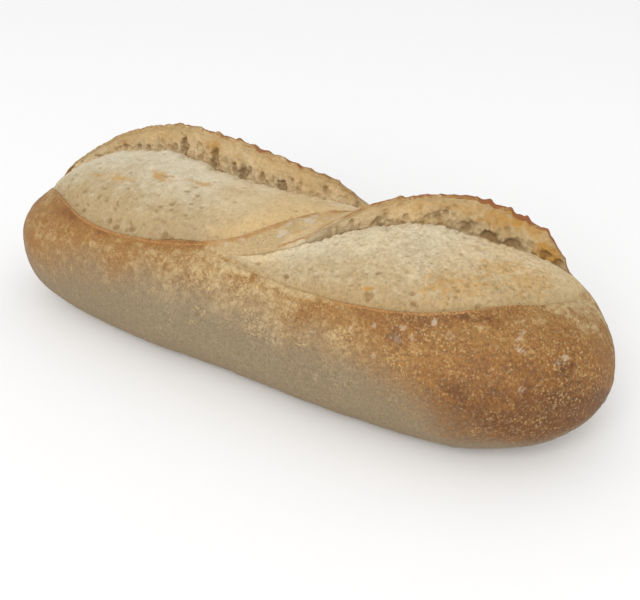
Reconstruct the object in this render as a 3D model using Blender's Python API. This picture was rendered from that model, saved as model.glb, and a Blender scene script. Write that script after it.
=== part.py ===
"""Batard loaf: a short, plump, hand-shaped wheat loaf with two overlapping diagonal slashes.

The loaf lies along X, with its flat underside on z = 0 and the origin under its middle. Its
front faces -Y. The right end (+X) is a little the fatter. Each slash has opened into a pale,
leaf-shaped bulge of crumb, and the crust behind the cut has lifted into a thin, ragged ear
that stands over a crevice. The whole loaf is one closed solid.

It is built as a grid of points. Each row is one cross-section at a fixed x. The columns run
round the section from under the loaf, up the front, over the top and down the back, and they
follow the rims, crevices and ears of both slashes, so that those edges stay crisp. A point's
place is given by its x, by its angle round the section in degrees (0 at the top, negative
towards the front) and by its height over the plain loaf.
"""

import bpy
import numpy as np
from mathutils import Vector, noise

MM = 0.001

# The plain loaf, before it was slashed.
LENGTH = 300 * MM
WIDTH = 103 * MM
HEIGHT = 68 * MM
FATTER_RIGHT = 0.09  # share by which the right end is wider than the middle
WAIST = 0.02  # share by which the middle is pinched in
SIDE_ENDS = (6.7, 3.8)  # how blunt the left and right ends are, seen from above
TOP_ENDS = (4.4, 4.2)  # and seen from the side
END_HEIGHT = (0.42, 0.40)  # height of the left and right tips, as a share of HEIGHT
BELLY = 0.42  # height of the widest line, as a share of the local height
ROUND_TOP = 2.2  # superellipse powers of the section above and below the belly
ROUND_FOOT = 2.9
SETTLED = 4 * MM  # how far the underside has been pressed flat

# Uneven hand shaping.
SWAY_SIZE, SWAY = 42 * MM, 1.4 * MM
DIMPLE_SIZE, DIMPLE = 15 * MM, 0.5 * MM
DIMPLE_SHIFT = Vector((9, 5, 2))  # keeps the dimples out of step with the sway

# What the two slashes share.
RIM_RISE, RIM_REACH = 0.9 * MM, 5 * MM  # the cut crust's edge stands a little proud
RIM_STEP, RIM_LEDGE = 1.4 * MM, 1.1  # the crumb begins a step below it, this many degrees on
OPENING = 14 * MM  # how far from its tips a slash takes to reach its full relief
LEAST_LENS, LEAST_GAP = 3.0, 4.0  # degrees between the edges at a slash's tips
UPRIGHT = 0.65  # how far relief rises straight up rather than square to the plain loaf
CURL_SHARE, CURL_REACH = 0.45, 10  # an ear's share that is its curled edge, and degrees
TOOTH_MIDDLE = 2 / 3  # so that teeth leave the lip's average height as it is
FULL_TEETH, FULL_WALL = 8 * MM, 5 * MM  # ear heights from which teeth and crevice are full
PARK_REACH = 70 * MM  # how far beyond a slash its columns take to spread over the plain crust
MM_TO_ANGLE = 1.15 / MM  # degrees round the top of the section for a distance along it
NUDGE = 0.5  # degrees either side of a point between which the slope is measured
TINY = 1e-9  # added to a length before dividing by it

# The section through crest, crevice and ear: the share of the gap behind the crest, and the
# height from the crevice's floor (0) to the crest (1), then on to the ear's lip (2).
BACK_WALL = np.array(
    [
        (0.00, 1.00),
        (0.20, 0.92),
        (0.45, 0.45),
        (0.66, 0.00),
        (0.86, 0.35),
        (0.98, 0.90),
        (1.00, 1.35),
        (0.92, 1.75),
        (0.80, 1.94),
        (0.92, 2.00),
        (1.20, 1.95),
    ]
)
LENS_STEPS = np.array([0.25, 0.52, 0.80])  # columns between ledge and crest

ROWS = 102
FRONT_COLUMNS, BRIDGE_COLUMNS, BACK_COLUMNS = 12, 2, 9
FOOT_SPACING = 0.75  # columns stand wider apart under the loaf than up its sides
END_ROWS = 0.8  # rows are even over this share of the length, and close up towards the ends


def smooth(t):
    t = np.clip(t, 0, 1)
    return t * t * (3 - 2 * t)


def curve(x, points):
    """A smooth curve through a few (millimetres along the loaf, value) points."""
    at, value = np.array(points, float).T
    slope = np.gradient(value, at)
    x = np.clip(x / MM, at[0], at[-1])
    k = np.clip(np.searchsorted(at, x) - 1, 0, len(at) - 2)
    span = at[k + 1] - at[k]
    t = (x - at[k]) / span
    rise = value[k + 1] - value[k]
    bend_in, bend_out = slope[k] * span - rise, rise - slope[k + 1] * span
    return value[k] + rise * t + t * (1 - t) * (bend_in * (1 - t) + bend_out * t)


class Slash:
    """One slash, from its near rim, over the crumb's bulge, into the crevice and up the ear.

    near_rim and crest hold (mm, degrees) points. bulge, ear and depth hold (mm, mm) points of
    the crest's height, the lip's height and the crevice's depth. teeth holds where each tooth
    of the lip breaks off, and by how many mm, after the place where the first tooth starts.
    """

    def __init__(self, **facts):
        self.__dict__.update(facts)

    def relief(self, x, name):
        return np.maximum(curve(x, getattr(self, name)), 0) * MM

    def openness(self, x):
        start, end = self.near_rim[0][0] * MM, self.near_rim[-1][0] * MM
        return smooth((x - start) / OPENING) * smooth((end - x) / OPENING)

    def ragged(self, x):
        """Teeth along the lip, which rise slowly and break off sharply."""
        ends, drops = np.array(self.teeth).T
        k = np.clip(np.searchsorted(ends, x / MM), 1, len(ends) - 1)
        share = (x / MM - ends[k - 1]) / (ends[k] - ends[k - 1])
        inside = (share >= 0) & (share <= 1)
        return drops[k] * MM * (np.sqrt(np.clip(share, 0, 1)) - TOOTH_MIDDLE) * inside

    def lip_height(self, x):
        height = self.relief(x, "ear")
        return height + self.ragged(x) * smooth(height / FULL_TEETH)

    def columns(self, x):
        """The angles and heights of this slash's columns, one row for each x."""
        x = x[:, None]
        rim = curve(x, self.near_rim)
        crest = np.maximum(curve(x, self.crest), rim + LEAST_LENS)
        ledge = rim + RIM_LEDGE
        lens = ledge + (crest - ledge) * LENS_STEPS
        tall = smooth(self.relief(x, "ear") / FULL_WALL)
        gap = np.maximum(self.gap * MM * MM_TO_ANGLE * tall, LEAST_GAP)
        even = np.linspace(0, BACK_WALL[-1, 0], len(BACK_WALL))
        wall = crest + gap * (even + (BACK_WALL[:, 0] - even) * tall)
        angles = np.concatenate([rim, ledge, lens, wall], axis=1)

        opened = self.openness(x)
        low, high = -RIM_STEP * opened, self.relief(x, "bulge")
        floor = high - self.relief(x, "depth")
        lip = np.maximum(self.lip_height(x), 0)
        lens_heights = low + (high - low) * np.sin(np.pi / 2 * LENS_STEPS)
        share = BACK_WALL[:, 1]
        wall_heights = np.where(
            share <= 1, floor + (high - floor) * share, high + (lip - high) * (share - 1)
        )
        heights = np.concatenate([RIM_RISE * opened, low, lens_heights, wall_heights], axis=1)
        return angles, heights

    def lift(self, x, angle):
        """How far the crust behind the ear is raised, falling back to the plain loaf."""
        lip = self.columns(x[:, 0])[0][:, -1:]
        behind = angle - lip
        reach = curve(x, self.reach)
        height = self.relief(x, "ear") * BACK_WALL[-1, 1] / 2
        swell = (1 - CURL_SHARE) * (1 - smooth(behind / reach))
        curl = CURL_SHARE * np.exp(-behind / CURL_REACH) * (1 - smooth(behind / reach))
        return np.where(behind > 0, height * (swell + curl), 0)

    def rim_lift(self, x, angle):
        """The slight rise of the crust towards the near rim, from the front."""
        before = (curve(x, self.near_rim) - angle) / MM_TO_ANGLE
        rise = RIM_RISE * self.openness(x) * np.exp(-((before / RIM_REACH) ** 2))
        return np.where(before > 0, rise, 0)


LEFT_SLASH = Slash(
    near_rim=(
        (-143, -2),
        (-134, -16.5),
        (-122, -25),
        (-108, -34.5),
        (-90, -44.5),
        (-70, -48.5),
        (-45, -45.8),
        (-20, -37.5),
        (-5, -27),
        (4, -14.5),
        (11, -3),
        (19, 6),
        (32, 17),
    ),
    crest=((-143, 9), (-125, 7), (-100, 10.5), (-60, 12), (0, 13.5), (32, 20)),
    bulge=(
        (-149, 0),
        (-143, 1),
        (-137, 2.8),
        (-122, 4.6),
        (-106, 7.5),
        (-90, 8.8),
        (-68, 10),
        (-56, 7.9),
        (-43, 5.4),
        (-28, 3.9),
        (-10, 2.9),
        (12, 2.4),
        (30, 0),
    ),
    depth=((-130, 0), (-112, 4), (-95, 6.8), (-60, 9), (-25, 7.6), (0, 5), (18, 2.3), (30, 0)),
    ear=(
        (-149, 0),
        (-143, 5.4),
        (-136, 7.8),
        (-128, 9.4),
        (-118, 12.3),
        (-109, 15.4),
        (-98, 18.5),
        (-84, 20.8),
        (-68, 22.4),
        (-52, 22),
        (-34, 20),
        (-17, 17),
        (0, 13.8),
        (10, 12),
        (17, 7.8),
        (25, 2.8),
        (32, 0),
    ),
    teeth=(
        (-98, 0),
        (-84, 0.5),
        (-71, 1.6),
        (-60, 0.9),
        (-49, 2),
        (-37, 2),
        (-29, 1.9),
        (-21, 2.3),
        (-12.5, 1.7),
        (-6, 1.4),
        (1, 2.8),
        (7.5, 1.6),
        (14, 4.4),
        (21, 2.6),
        (26, 1.5),
    ),
    gap=7.5,
    reach=((-150, 64), (150, 64)),
    parked=(56, 90),
    parks_right=True,
)
RIGHT_SLASH = Slash(
    near_rim=(
        (-20, -46),
        (4, -47.5),
        (33, -49.3),
        (60, -47.4),
        (76, -44),
        (90, -38),
        (104, -27.3),
        (114, -16.3),
        (122, -7),
        (129, 10),
        (134, 36),
    ),
    crest=(
        (-20, -43),
        (4, -38),
        (22, -24),
        (40, -10.5),
        (60, 1),
        (85, 10.5),
        (105, 19),
        (120, 28),
        (134, 45),
    ),
    bulge=(
        (8, 0),
        (20, 0.3),
        (29, 1.4),
        (39, 3.8),
        (49, 5.9),
        (60, 6.8),
        (70, 6.9),
        (80, 5.6),
        (90, 4.8),
        (102, 4.7),
        (113, 4.3),
        (122, 3.6),
        (131, 1.8),
        (140, 0),
    ),
    depth=((-8, 0), (8, 1.7), (28, 4.2), (50, 6.7), (70, 8), (95, 6.7), (112, 3.9), (126, 0)),
    ear=(
        (8, 0),
        (15, 0.5),
        (21, 1.7),
        (27, 4.4),
        (34, 8.3),
        (40, 11.4),
        (48, 14.5),
        (59, 16.5),
        (71, 18.5),
        (83, 19),
        (93, 18.6),
        (100, 17.1),
        (106, 15.4),
        (112, 14),
        (116, 9.6),
        (120, 4.6),
        (124, 3),
        (129, 1),
        (134, 0),
    ),
    teeth=(
        (46, 0),
        (54, 1.2),
        (64, 0.4),
        (74, 0.4),
        (83, 1),
        (88, 1),
        (96.5, 1.6),
        (103, 1.7),
        (111, 1.6),
        (119, 2.6),
        (123, 0.8),
    ),
    gap=5,
    reach=((0, 24), (25, 30), (65, 62), (136, 62)),
    parked=(-86, -60),
    parks_right=False,
)


def fullness(x, ends):
    """1 over most of the length, falling to 0 in a rounded end."""
    s = np.clip(2 * x / LENGTH, -1, 1)
    return np.sqrt(1 - np.abs(s) ** np.where(s < 0, *ends))


def section(x, angle):
    """(y, z) of the plain loaf at x and at an angle in degrees from the top to the back."""
    s = 2 * x / LENGTH
    side, rise = fullness(x, SIDE_ENDS), fullness(x, TOP_ENDS)
    half = WIDTH / 2 * side * (1 + FATTER_RIGHT * s) * (1 - WAIST * (1 - s * s) ** 2)
    tip = HEIGHT * np.where(s < 0, *END_HEIGHT) * (1 - rise)
    top = tip + HEIGHT * rise * (1 + FATTER_RIGHT / 2 * s)
    belly = tip + (top - tip) * BELLY
    across, up = np.sin(np.radians(angle)), np.cos(np.radians(angle))
    power = 2 / np.where(up > 0, ROUND_TOP, ROUND_FOOT)
    reach = np.where(up > 0, top - belly, belly - tip + SETTLED * rise)
    y = half * np.sign(across) * np.abs(across) ** power
    z = belly + reach * np.sign(up) * np.abs(up) ** power
    return y, z


def place(x, angle, height):
    """(y, z) of a point at a height over the plain loaf."""
    y, z = section(x, angle)
    y_after, z_after = section(x, angle + NUDGE)
    y_before, z_before = section(x, angle - NUDGE)
    along_y, along_z = y_after - y_before, z_after - z_before
    length = np.hypot(along_y, along_z) + TINY
    out_y = -along_z / length * (1 - UPRIGHT)
    out_z = along_y / length * (1 - UPRIGHT) + UPRIGHT
    scale = height / np.hypot(out_y, out_z)
    return y + out_y * scale, z + out_z * scale


def spread(x, slash, angles):
    """Beyond its parked end, a slash's columns spread out over the plain crust."""
    if slash.parks_right:
        beyond = x - slash.near_rim[-1][0] * MM
    else:
        beyond = slash.near_rim[0][0] * MM - x
    share = smooth(beyond / PARK_REACH)[:, None]
    return angles + (np.linspace(*slash.parked, angles.shape[1]) - angles) * share


def between(first, last, count, power=1):
    """Columns strictly between two angles. A power under 1 leaves the first step wider."""
    steps = np.arange(1, count + 1) / (count + 1)
    return first + (last - first) * steps**power


def row_places():
    """The x of each row between the tips."""
    u = np.linspace(-1, 1, ROWS + 2)[1:-1]
    slope = 2 / (1 + END_ROWS)
    near_end = 1 - slope * (1 - np.abs(u)) ** 2 / (2 * (1 - END_ROWS))
    s = np.where(np.abs(u) < END_ROWS, slope * np.abs(u), near_end)
    return np.sign(u) * s * LENGTH / 2


def uneven(points):
    """Moves each point outwards or inwards a little, as on a hand-shaped loaf."""
    middle = np.array([0, 0, HEIGHT / 2])
    for point in points:
        sway = noise.noise(Vector(point / SWAY_SIZE)) * SWAY
        dimple = noise.noise(Vector(point / DIMPLE_SIZE) + DIMPLE_SHIFT) * DIMPLE
        out = (point - middle) * np.array([0, 1, 1])
        point += out / (np.linalg.norm(out) + TINY) * (sway + dimple)
    return points


def loaf_grid():
    x = row_places()
    front_angles, front_heights = RIGHT_SLASH.columns(x)
    back_angles, back_heights = LEFT_SLASH.columns(x)
    front_angles = spread(x, RIGHT_SLASH, front_angles)
    back_angles = spread(x, LEFT_SLASH, back_angles)
    under = np.full((len(x), 1), -180.0)
    front = between(under, front_angles[:, :1], FRONT_COLUMNS, FOOT_SPACING)
    bridge = between(front_angles[:, -1:], back_angles[:, :1], BRIDGE_COLUMNS)
    back = between(-under, back_angles[:, -1:], BACK_COLUMNS, FOOT_SPACING)[:, ::-1]
    angles = np.concatenate([under, front, front_angles, bridge, back_angles, back], axis=1)

    x = np.repeat(x[:, None], angles.shape[1], axis=1)
    heights = LEFT_SLASH.rim_lift(x, angles) + RIGHT_SLASH.lift(x, angles)
    heights += np.where(angles < back_angles[:, :1], RIGHT_SLASH.rim_lift(x, angles), 0)
    first = 1 + FRONT_COLUMNS
    last = first + front_angles.shape[1]
    heights[:, first:last] = front_heights
    first = last + BRIDGE_COLUMNS
    last = first + back_angles.shape[1]
    heights[:, first:last] += back_heights
    heights[:, last:] += LEFT_SLASH.lift(x, angles)[:, last:]
    y, z = place(x, angles, heights)
    return np.stack([x, y, z], axis=2)


def tip_points():
    return [(side * LENGTH / 2, 0, HEIGHT * END_HEIGHT[side > 0]) for side in (-1, 1)]


def build_loaf():
    grid = loaf_grid()
    rows, columns = grid.shape[:2]
    points = uneven(np.concatenate([grid.reshape(-1, 3), tip_points()]))
    points[:, 2] = np.maximum(points[:, 2], 0)
    points[:, 1] -= (points[:, 1].min() + points[:, 1].max()) / 2
    left_tip, right_tip = rows * columns, rows * columns + 1

    faces = []
    for column in range(columns):
        after = (column + 1) % columns
        for row in range(rows - 1):
            here, there = row * columns, (row + 1) * columns
            faces.append((here + column, there + column, there + after, here + after))
        last = (rows - 1) * columns
        faces.append((left_tip, column, after))
        faces.append((right_tip, last + after, last + column))

    mesh = bpy.data.meshes.new("loaf")
    mesh.from_pydata([tuple(point) for point in points], [], faces)
    mesh.validate()
    mesh.shade_smooth()
    loaf = bpy.data.objects.new("loaf", mesh)
    bpy.context.scene.collection.objects.link(loaf)
    return loaf


def crust_material():
    """Matte, golden-tan baked crust."""
    material = bpy.data.materials.new("crust")
    material.use_nodes = True
    shader = material.node_tree.nodes["Principled BSDF"]
    shader.inputs["Base Color"].default_value = (0.52, 0.32, 0.14, 1)
    shader.inputs["Roughness"].default_value = 0.75
    shader.inputs["Metallic"].default_value = 0
    return material


def main():
    for thing in list(bpy.data.objects):
        bpy.data.objects.remove(thing, do_unlink=True)
    loaf = build_loaf()
    loaf.data.materials.append(crust_material())


main()
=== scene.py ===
"""The looks of a batard loaf: a plump wheat loaf with two overlapping slashes.

The loaf is made in three pieces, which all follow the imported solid's form at a finer scale. The
crust is the baked skin all round. In each slash lies an opening: the pale crumb that swelled
out of the cut, the crevice behind it and the torn face of the ear, up over the ear's ragged
lip. Places on the loaf are given by millimetres along it, from -150 at its left end to 150 at
its right, and by degrees round its section, from -180 under the loaf, up its front, over the
top at 0 and down its back. Inside an opening, places across it are counted in stations.
"""

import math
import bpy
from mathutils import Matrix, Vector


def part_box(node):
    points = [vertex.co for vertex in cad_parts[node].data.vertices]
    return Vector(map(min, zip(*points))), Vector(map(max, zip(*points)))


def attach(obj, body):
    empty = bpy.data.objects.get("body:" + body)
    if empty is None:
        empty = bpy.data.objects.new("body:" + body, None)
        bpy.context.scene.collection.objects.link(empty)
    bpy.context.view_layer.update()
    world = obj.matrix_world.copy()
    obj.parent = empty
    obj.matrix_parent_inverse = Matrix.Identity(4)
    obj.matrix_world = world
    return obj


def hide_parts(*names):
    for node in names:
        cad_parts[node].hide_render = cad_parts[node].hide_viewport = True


bl_info = {
    "name": "Batard loaf",
    "version": (1, 0, 0),
    "blender": (4, 5, 0),
    "location": "View3D > Sidebar > Batard loaf",
    "description": "Shapes, slashes and bakes one batard loaf, and sets it on a pale table",
    "category": "Object",
}

import bpy
import numpy as np
from bpy.props import FloatProperty, FloatVectorProperty, IntProperty, PointerProperty
from bpy.types import Operator, Panel, PropertyGroup
from mathutils import Matrix, Vector, noise

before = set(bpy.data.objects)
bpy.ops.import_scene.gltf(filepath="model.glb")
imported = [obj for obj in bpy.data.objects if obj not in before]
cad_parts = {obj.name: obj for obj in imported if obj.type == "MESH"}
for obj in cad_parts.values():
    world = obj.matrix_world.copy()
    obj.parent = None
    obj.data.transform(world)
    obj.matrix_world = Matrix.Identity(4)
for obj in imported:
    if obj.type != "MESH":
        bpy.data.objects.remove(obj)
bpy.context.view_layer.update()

MM = 0.001
TINY = 1e-9  # added to a length before dividing by it

# The plain loaf, before it was slashed.
LOW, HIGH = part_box("loaf")
LENGTH = HIGH.x - LOW.x
WIDTH = 103 * MM
HEIGHT = 68 * MM
LEANS_BACK = 0.495 * MM  # taken off every y, so that the loaf's outline is centred
FATTER_RIGHT = 0.09  # share by which the right end is wider than the middle
WAIST = 0.02  # share by which the middle is pinched in
SIDE_ENDS = (6.7, 3.8)  # how blunt the left and right ends are, seen from above
TOP_ENDS = (4.4, 4.2)  # and seen from the side
END_HEIGHT = (0.42, 0.40)  # height of the left and right tips, as a share of HEIGHT
BELLY = 0.42  # height of the widest line, as a share of the local height
ROUND_TOP = 2.2  # superellipse powers of the section above and below the belly
ROUND_FOOT = 2.9
SETTLED = 4 * MM  # how far the underside has been pressed flat

# Uneven hand shaping.
SWAY_SIZE, SWAY = 42 * MM, 1.4 * MM
DIMPLE_SIZE, DIMPLE = 15 * MM, 0.5 * MM
DIMPLE_SHIFT = Vector((9, 5, 2))  # keeps the dimples out of step with the sway

# What the two slashes share.
RIM_RISE, RIM_REACH = 0.6 * MM, 5 * MM  # the cut crust's edge stands a little proud
RIM_STEP, RIM_LEDGE = 0.1 * MM, 1.1  # the crumb begins a step below it, this many degrees on
LEAST_LENS, LEAST_GAP = 3.0, 4.0  # degrees between the edges at a slash's tips
UPRIGHT = 0.65  # how far relief rises straight up rather than square to the plain loaf
CURL_SHARE, CURL_REACH = 0.45, 10  # an ear's share that is its curled edge, and degrees
TOOTH_MIDDLE = 2 / 3  # so that teeth leave the lip's average height as it is
TOOTH_SOFTNESS = 0.9  # mm either side of its end over which a tooth breaks off
TOOTH_SAMPLES = 7  # places over that stretch whose average is taken
FULL_TEETH, FULL_WALL = 8 * MM, 5 * MM  # ear heights from which teeth and crevice are full
PARK_REACH = 70 * MM  # how far beyond a slash its columns take to spread over the plain crust
MM_TO_ANGLE = 1.15 / MM  # degrees round the top of the section for a distance along it
NUDGE = 0.5  # degrees either side of a point between which the slope is measured

# The section through crest, crevice and ear: the share of the gap behind the crest, and the
# height from the crevice's floor (0) to the crest (1), then on to the ear's lip (2).
BACK_WALL = np.array(
    [
        (0.00, 1.00), (0.20, 0.92), (0.45, 0.45), (0.66, 0.00), (0.86, 0.35), (0.98, 0.90),
        (1.00, 1.35), (0.92, 1.75), (0.80, 1.94), (0.92, 2.00), (1.20, 1.95),
    ]
)
LENS_STEPS = np.array([0.25, 0.52, 0.80])

# Stations across an opening, counted from the near rim.
LEDGE, CREST, FLOOR, UNDER_LIP, LIP, BEHIND = 1, 5, 8, 13, 14, 15
LENS_SHARES = np.concatenate([[0], LENS_STEPS, [1]])  # how far up the lens stations 1 to 5 lie

# The meshes' own spacing.
CRUST_ROWS = 318
FRONT_COLUMNS, BRIDGE_COLUMNS, BACK_COLUMNS = 108, 34, 100
SLASH_COLUMNS = (1, 3, 3, 3, 3) + (1,) * 10
FINE_COLUMNS = (4, 26, 27, 28, 21) + (5, 9, 10, 8, 10, 12, 12, 8, 5, 6)
FINE_ROW = 0.40 * MM
FOOT_SPACING = 0.8  # columns stand wider apart under the loaf than up its sides
END_ROWS = 0.85  # rows are even over this share of the length, and close up towards the ends
HEM = 1.5  # degrees from an opening's edge at which the crust is cut out to let it show
HEM_COLUMNS = 6
TUCK = 4 * MM  # how far inside a slash's tips the crust is cut out
TUCK_REACH, TUCK_DEPTH = 2 * MM, 0.3 * MM  # how far and deep an opening dives under it there

# The baked skin's relief: how far apart its lumps lie, and how many mm they rise.
BLISTER_SIZE, BLISTER = 4.2 * MM, 0.35
GRAIN_SIZE, GRAIN = 1.7 * MM, 0.07
RIPPLE_SIZE, RIPPLE = 9 * MM, 0.18
FOOT_PLAIN, FOOT_REACH = 1 * MM, 6 * MM  # it begins at this height, and is full so much higher

# Bubbles: how many times longer than wide they are, and how deep for their size.
PORE_STRETCH, PORE_DEPTH = (0.9, 1.8), (0.6, 1.1)
TEAR_STRETCH, TEAR_DEPTH = (0.4, 0.9), (0.4, 0.8)
TEAR_SIZE, LARGEST_TEAR = 1.0, 2.0  # mm, in the ears' torn faces
SIZES_VARY = 0.45  # spread of the sizes' logarithms
DENT_REACH = 1.4  # how many times its size a hollow may reach with its uneven outline
DENT_COLUMNS = 60  # and the most columns that it may reach to each side
DENT_WOBBLE, DENT_POWER = 0.6, 0.6  # how uneven the outline is, and how steep the hollow's wall

# The ears' faces and lips.
TALL_EAR = 9 * MM  # height from which an ear's face is torn in full
FACE_START = (CREST + 0.4, 0.8)  # the station where an ear's face begins, and over how many it does
KNOT_WIDTH = 1.1  # mm from a knot's middle over which it falls away
CRUMB_ACROSS = 52  # about how many mm the crumb is across, by which toasted spots are placed
STATION_UP = 4.5  # about how many mm of an ear's face lie between two stations


def smooth(t):
    t = np.clip(t, 0, 1)
    return t * t * (3 - 2 * t)


def rising(x, start, over):
    """0 up to the start, and 1 once x is as far past it as over."""
    return smooth((x - start) / over)


def falling(x, start, over):
    return 1 - rising(x, start, over)


def hill(x, middle, width):
    """1 at the middle, falling away to nothing about two widths from it."""
    return np.exp(-(((x - middle) / width) ** 2))


def teeth(x, ends):
    """Teeth along an edge, which rise slowly and break off quickly, from (mm, mm) points."""
    at, drops = np.array(ends).T
    height = 0
    for offset in np.linspace(-TOOTH_SOFTNESS, TOOTH_SOFTNESS, TOOTH_SAMPLES):
        far = x / MM + offset
        k = np.clip(np.searchsorted(at, far), 1, len(at) - 1)
        share = (far - at[k - 1]) / (at[k] - at[k - 1])
        inside = (share >= 0) & (share <= 1)
        height = height + drops[k] * (np.sqrt(np.clip(share, 0, 1)) - TOOTH_MIDDLE) * inside
    return height / TOOTH_SAMPLES * MM


def frayed(x):
    """Small irregular bumps along a torn edge."""
    line = x[..., None] * (1, 0, 0)
    return (lumps(line, 3.1 * MM, 43) * 0.5 + lumps(line, 1.3 * MM, 44) * 0.35) * MM


def curve(x, points):
    """A smooth curve through a few (millimetres along the loaf, value) points."""
    at, value = np.array(points, float).T
    slope = np.gradient(value, at)
    x = np.clip(x / MM, at[0], at[-1])
    k = np.clip(np.searchsorted(at, x) - 1, 0, len(at) - 2)
    span = at[k + 1] - at[k]
    t = (x - at[k]) / span
    rise = value[k + 1] - value[k]
    bend_in, bend_out = slope[k] * span - rise, rise - slope[k + 1] * span
    return value[k] + rise * t + t * (1 - t) * (bend_in * (1 - t) + bend_out * t)


class Slash:
    """One slash, from its near rim, over the crumb's bulge, into the crevice and up the ear.

    Points are pairs whose first number is in mm along the loaf. Those of near_rim and crest
    give degrees, those of bulge, ear and depth the mm of the crest's height, the lip's height
    and the crevice's depth. teeth holds where each tooth of the lip breaks off, and by how many
    mm, after the place where the first tooth starts. knots holds where the lip is burnt to a
    knot, and its mm. gap is how many mm wide the crevice is behind the crest. reach gives the
    degrees behind the ear over which the raised crust falls back. opens and fades hold how many
    mm from its left and right tips the slash takes to reach full relief, and crumb takes to
    show. parked holds the degrees over which its columns spread beyond its right end, where
    parks_right says so, or its left. cut_edge gives how strongly the rim's edge shows. band and
    band_reach give how much more the crust is baked before the rim, and over how many mm.
    """

    def __init__(self, **facts):
        self.__dict__.update(facts)
        self.start = self.near_rim[0][0] * MM
        self.end = self.near_rim[-1][0] * MM

    def relief(self, x, name):
        return np.maximum(curve(x, getattr(self, name)), 0) * MM

    def ear_share(self, x, full=FULL_WALL):
        """How tall the ear is, from 0 to 1 where it reaches the full height."""
        return smooth(self.relief(x, "ear") / full)

    def inside(self, x, tips):
        """1 inside the slash, falling to 0 over its left and right tips' lengths in mm."""
        left, right = tips
        return smooth((x - self.start) / (left * MM)) * smooth((self.end - x) / (right * MM))

    def openness(self, x):
        return self.inside(x, self.opens)

    def knots_on(self, x):
        """Small burnt knots that stand up from the lip."""
        return sum(size * MM * hill(x / MM, at, KNOT_WIDTH) for at, size in self.knots)

    def lip_height(self, x):
        edge = teeth(x, self.teeth) + self.knots_on(x) + frayed(x)
        return self.relief(x, "ear") + edge * self.ear_share(x, FULL_TEETH)

    def columns(self, x):
        """The angles and heights of this slash's stations, one row for each x."""
        x = x[:, None]
        rim = curve(x, self.near_rim)
        crest = np.maximum(curve(x, self.crest), rim + LEAST_LENS)
        ledge = rim + RIM_LEDGE
        lens = ledge + (crest - ledge) * LENS_STEPS
        tall = self.ear_share(x)
        gap = np.maximum(self.gap * MM * MM_TO_ANGLE * tall, LEAST_GAP)
        even = np.linspace(0, BACK_WALL[-1, 0], len(BACK_WALL))
        wall = crest + gap * (even + (BACK_WALL[:, 0] - even) * tall)
        angles = np.concatenate([rim, ledge, lens, wall], axis=1)

        opened = self.openness(x)
        low, high = -RIM_STEP * opened, self.relief(x, "bulge")
        floor = high - self.relief(x, "depth")
        lip = np.maximum(self.lip_height(x), 0)
        lens_heights = low + (high - low) * np.sin(np.pi / 2 * LENS_STEPS)
        share = BACK_WALL[:, 1]
        wall_heights = np.where(
            share <= 1, floor + (high - floor) * share, high + (lip - high) * (share - 1)
        )
        heights = np.concatenate([RIM_RISE * opened, low, lens_heights, wall_heights], axis=1)
        return angles, heights

    def spread_columns(self, x):
        """The same, but beyond the slash's parked end they spread out over the plain crust."""
        angles, heights = self.columns(x)
        beyond = x - self.end if self.parks_right else self.start - x
        share = smooth(beyond / PARK_REACH)[:, None]
        return angles + (np.linspace(*self.parked, angles.shape[1]) - angles) * share, heights

    def behind(self, x, angle):
        """How many degrees behind the ear's last column an angle lies."""
        return angle - self.columns(x[:, 0])[0][:, -1:]

    def lift(self, x, angle):
        """How far the crust behind the ear is raised, falling back to the plain loaf."""
        behind = self.behind(x, angle)
        fading = 1 - smooth(behind / curve(x, self.reach))
        height = self.relief(x, "ear") * BACK_WALL[-1, 1] / 2
        curl = CURL_SHARE * np.exp(-behind / CURL_REACH) * fading
        return np.where(behind > 0, height * ((1 - CURL_SHARE) * fading + curl), 0)

    def before_rim(self, x, angle):
        """How far before the near rim an angle lies, as a distance round the section."""
        return (curve(x, self.near_rim) - angle) / MM_TO_ANGLE

    def rim_lift(self, x, angle):
        """The slight rise of the crust towards the near rim, from the front."""
        before = self.before_rim(x, angle)
        rise = RIM_RISE * self.openness(x) * np.exp(-((before / RIM_REACH) ** 2))
        return np.where(before > 0, rise, 0)


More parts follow.
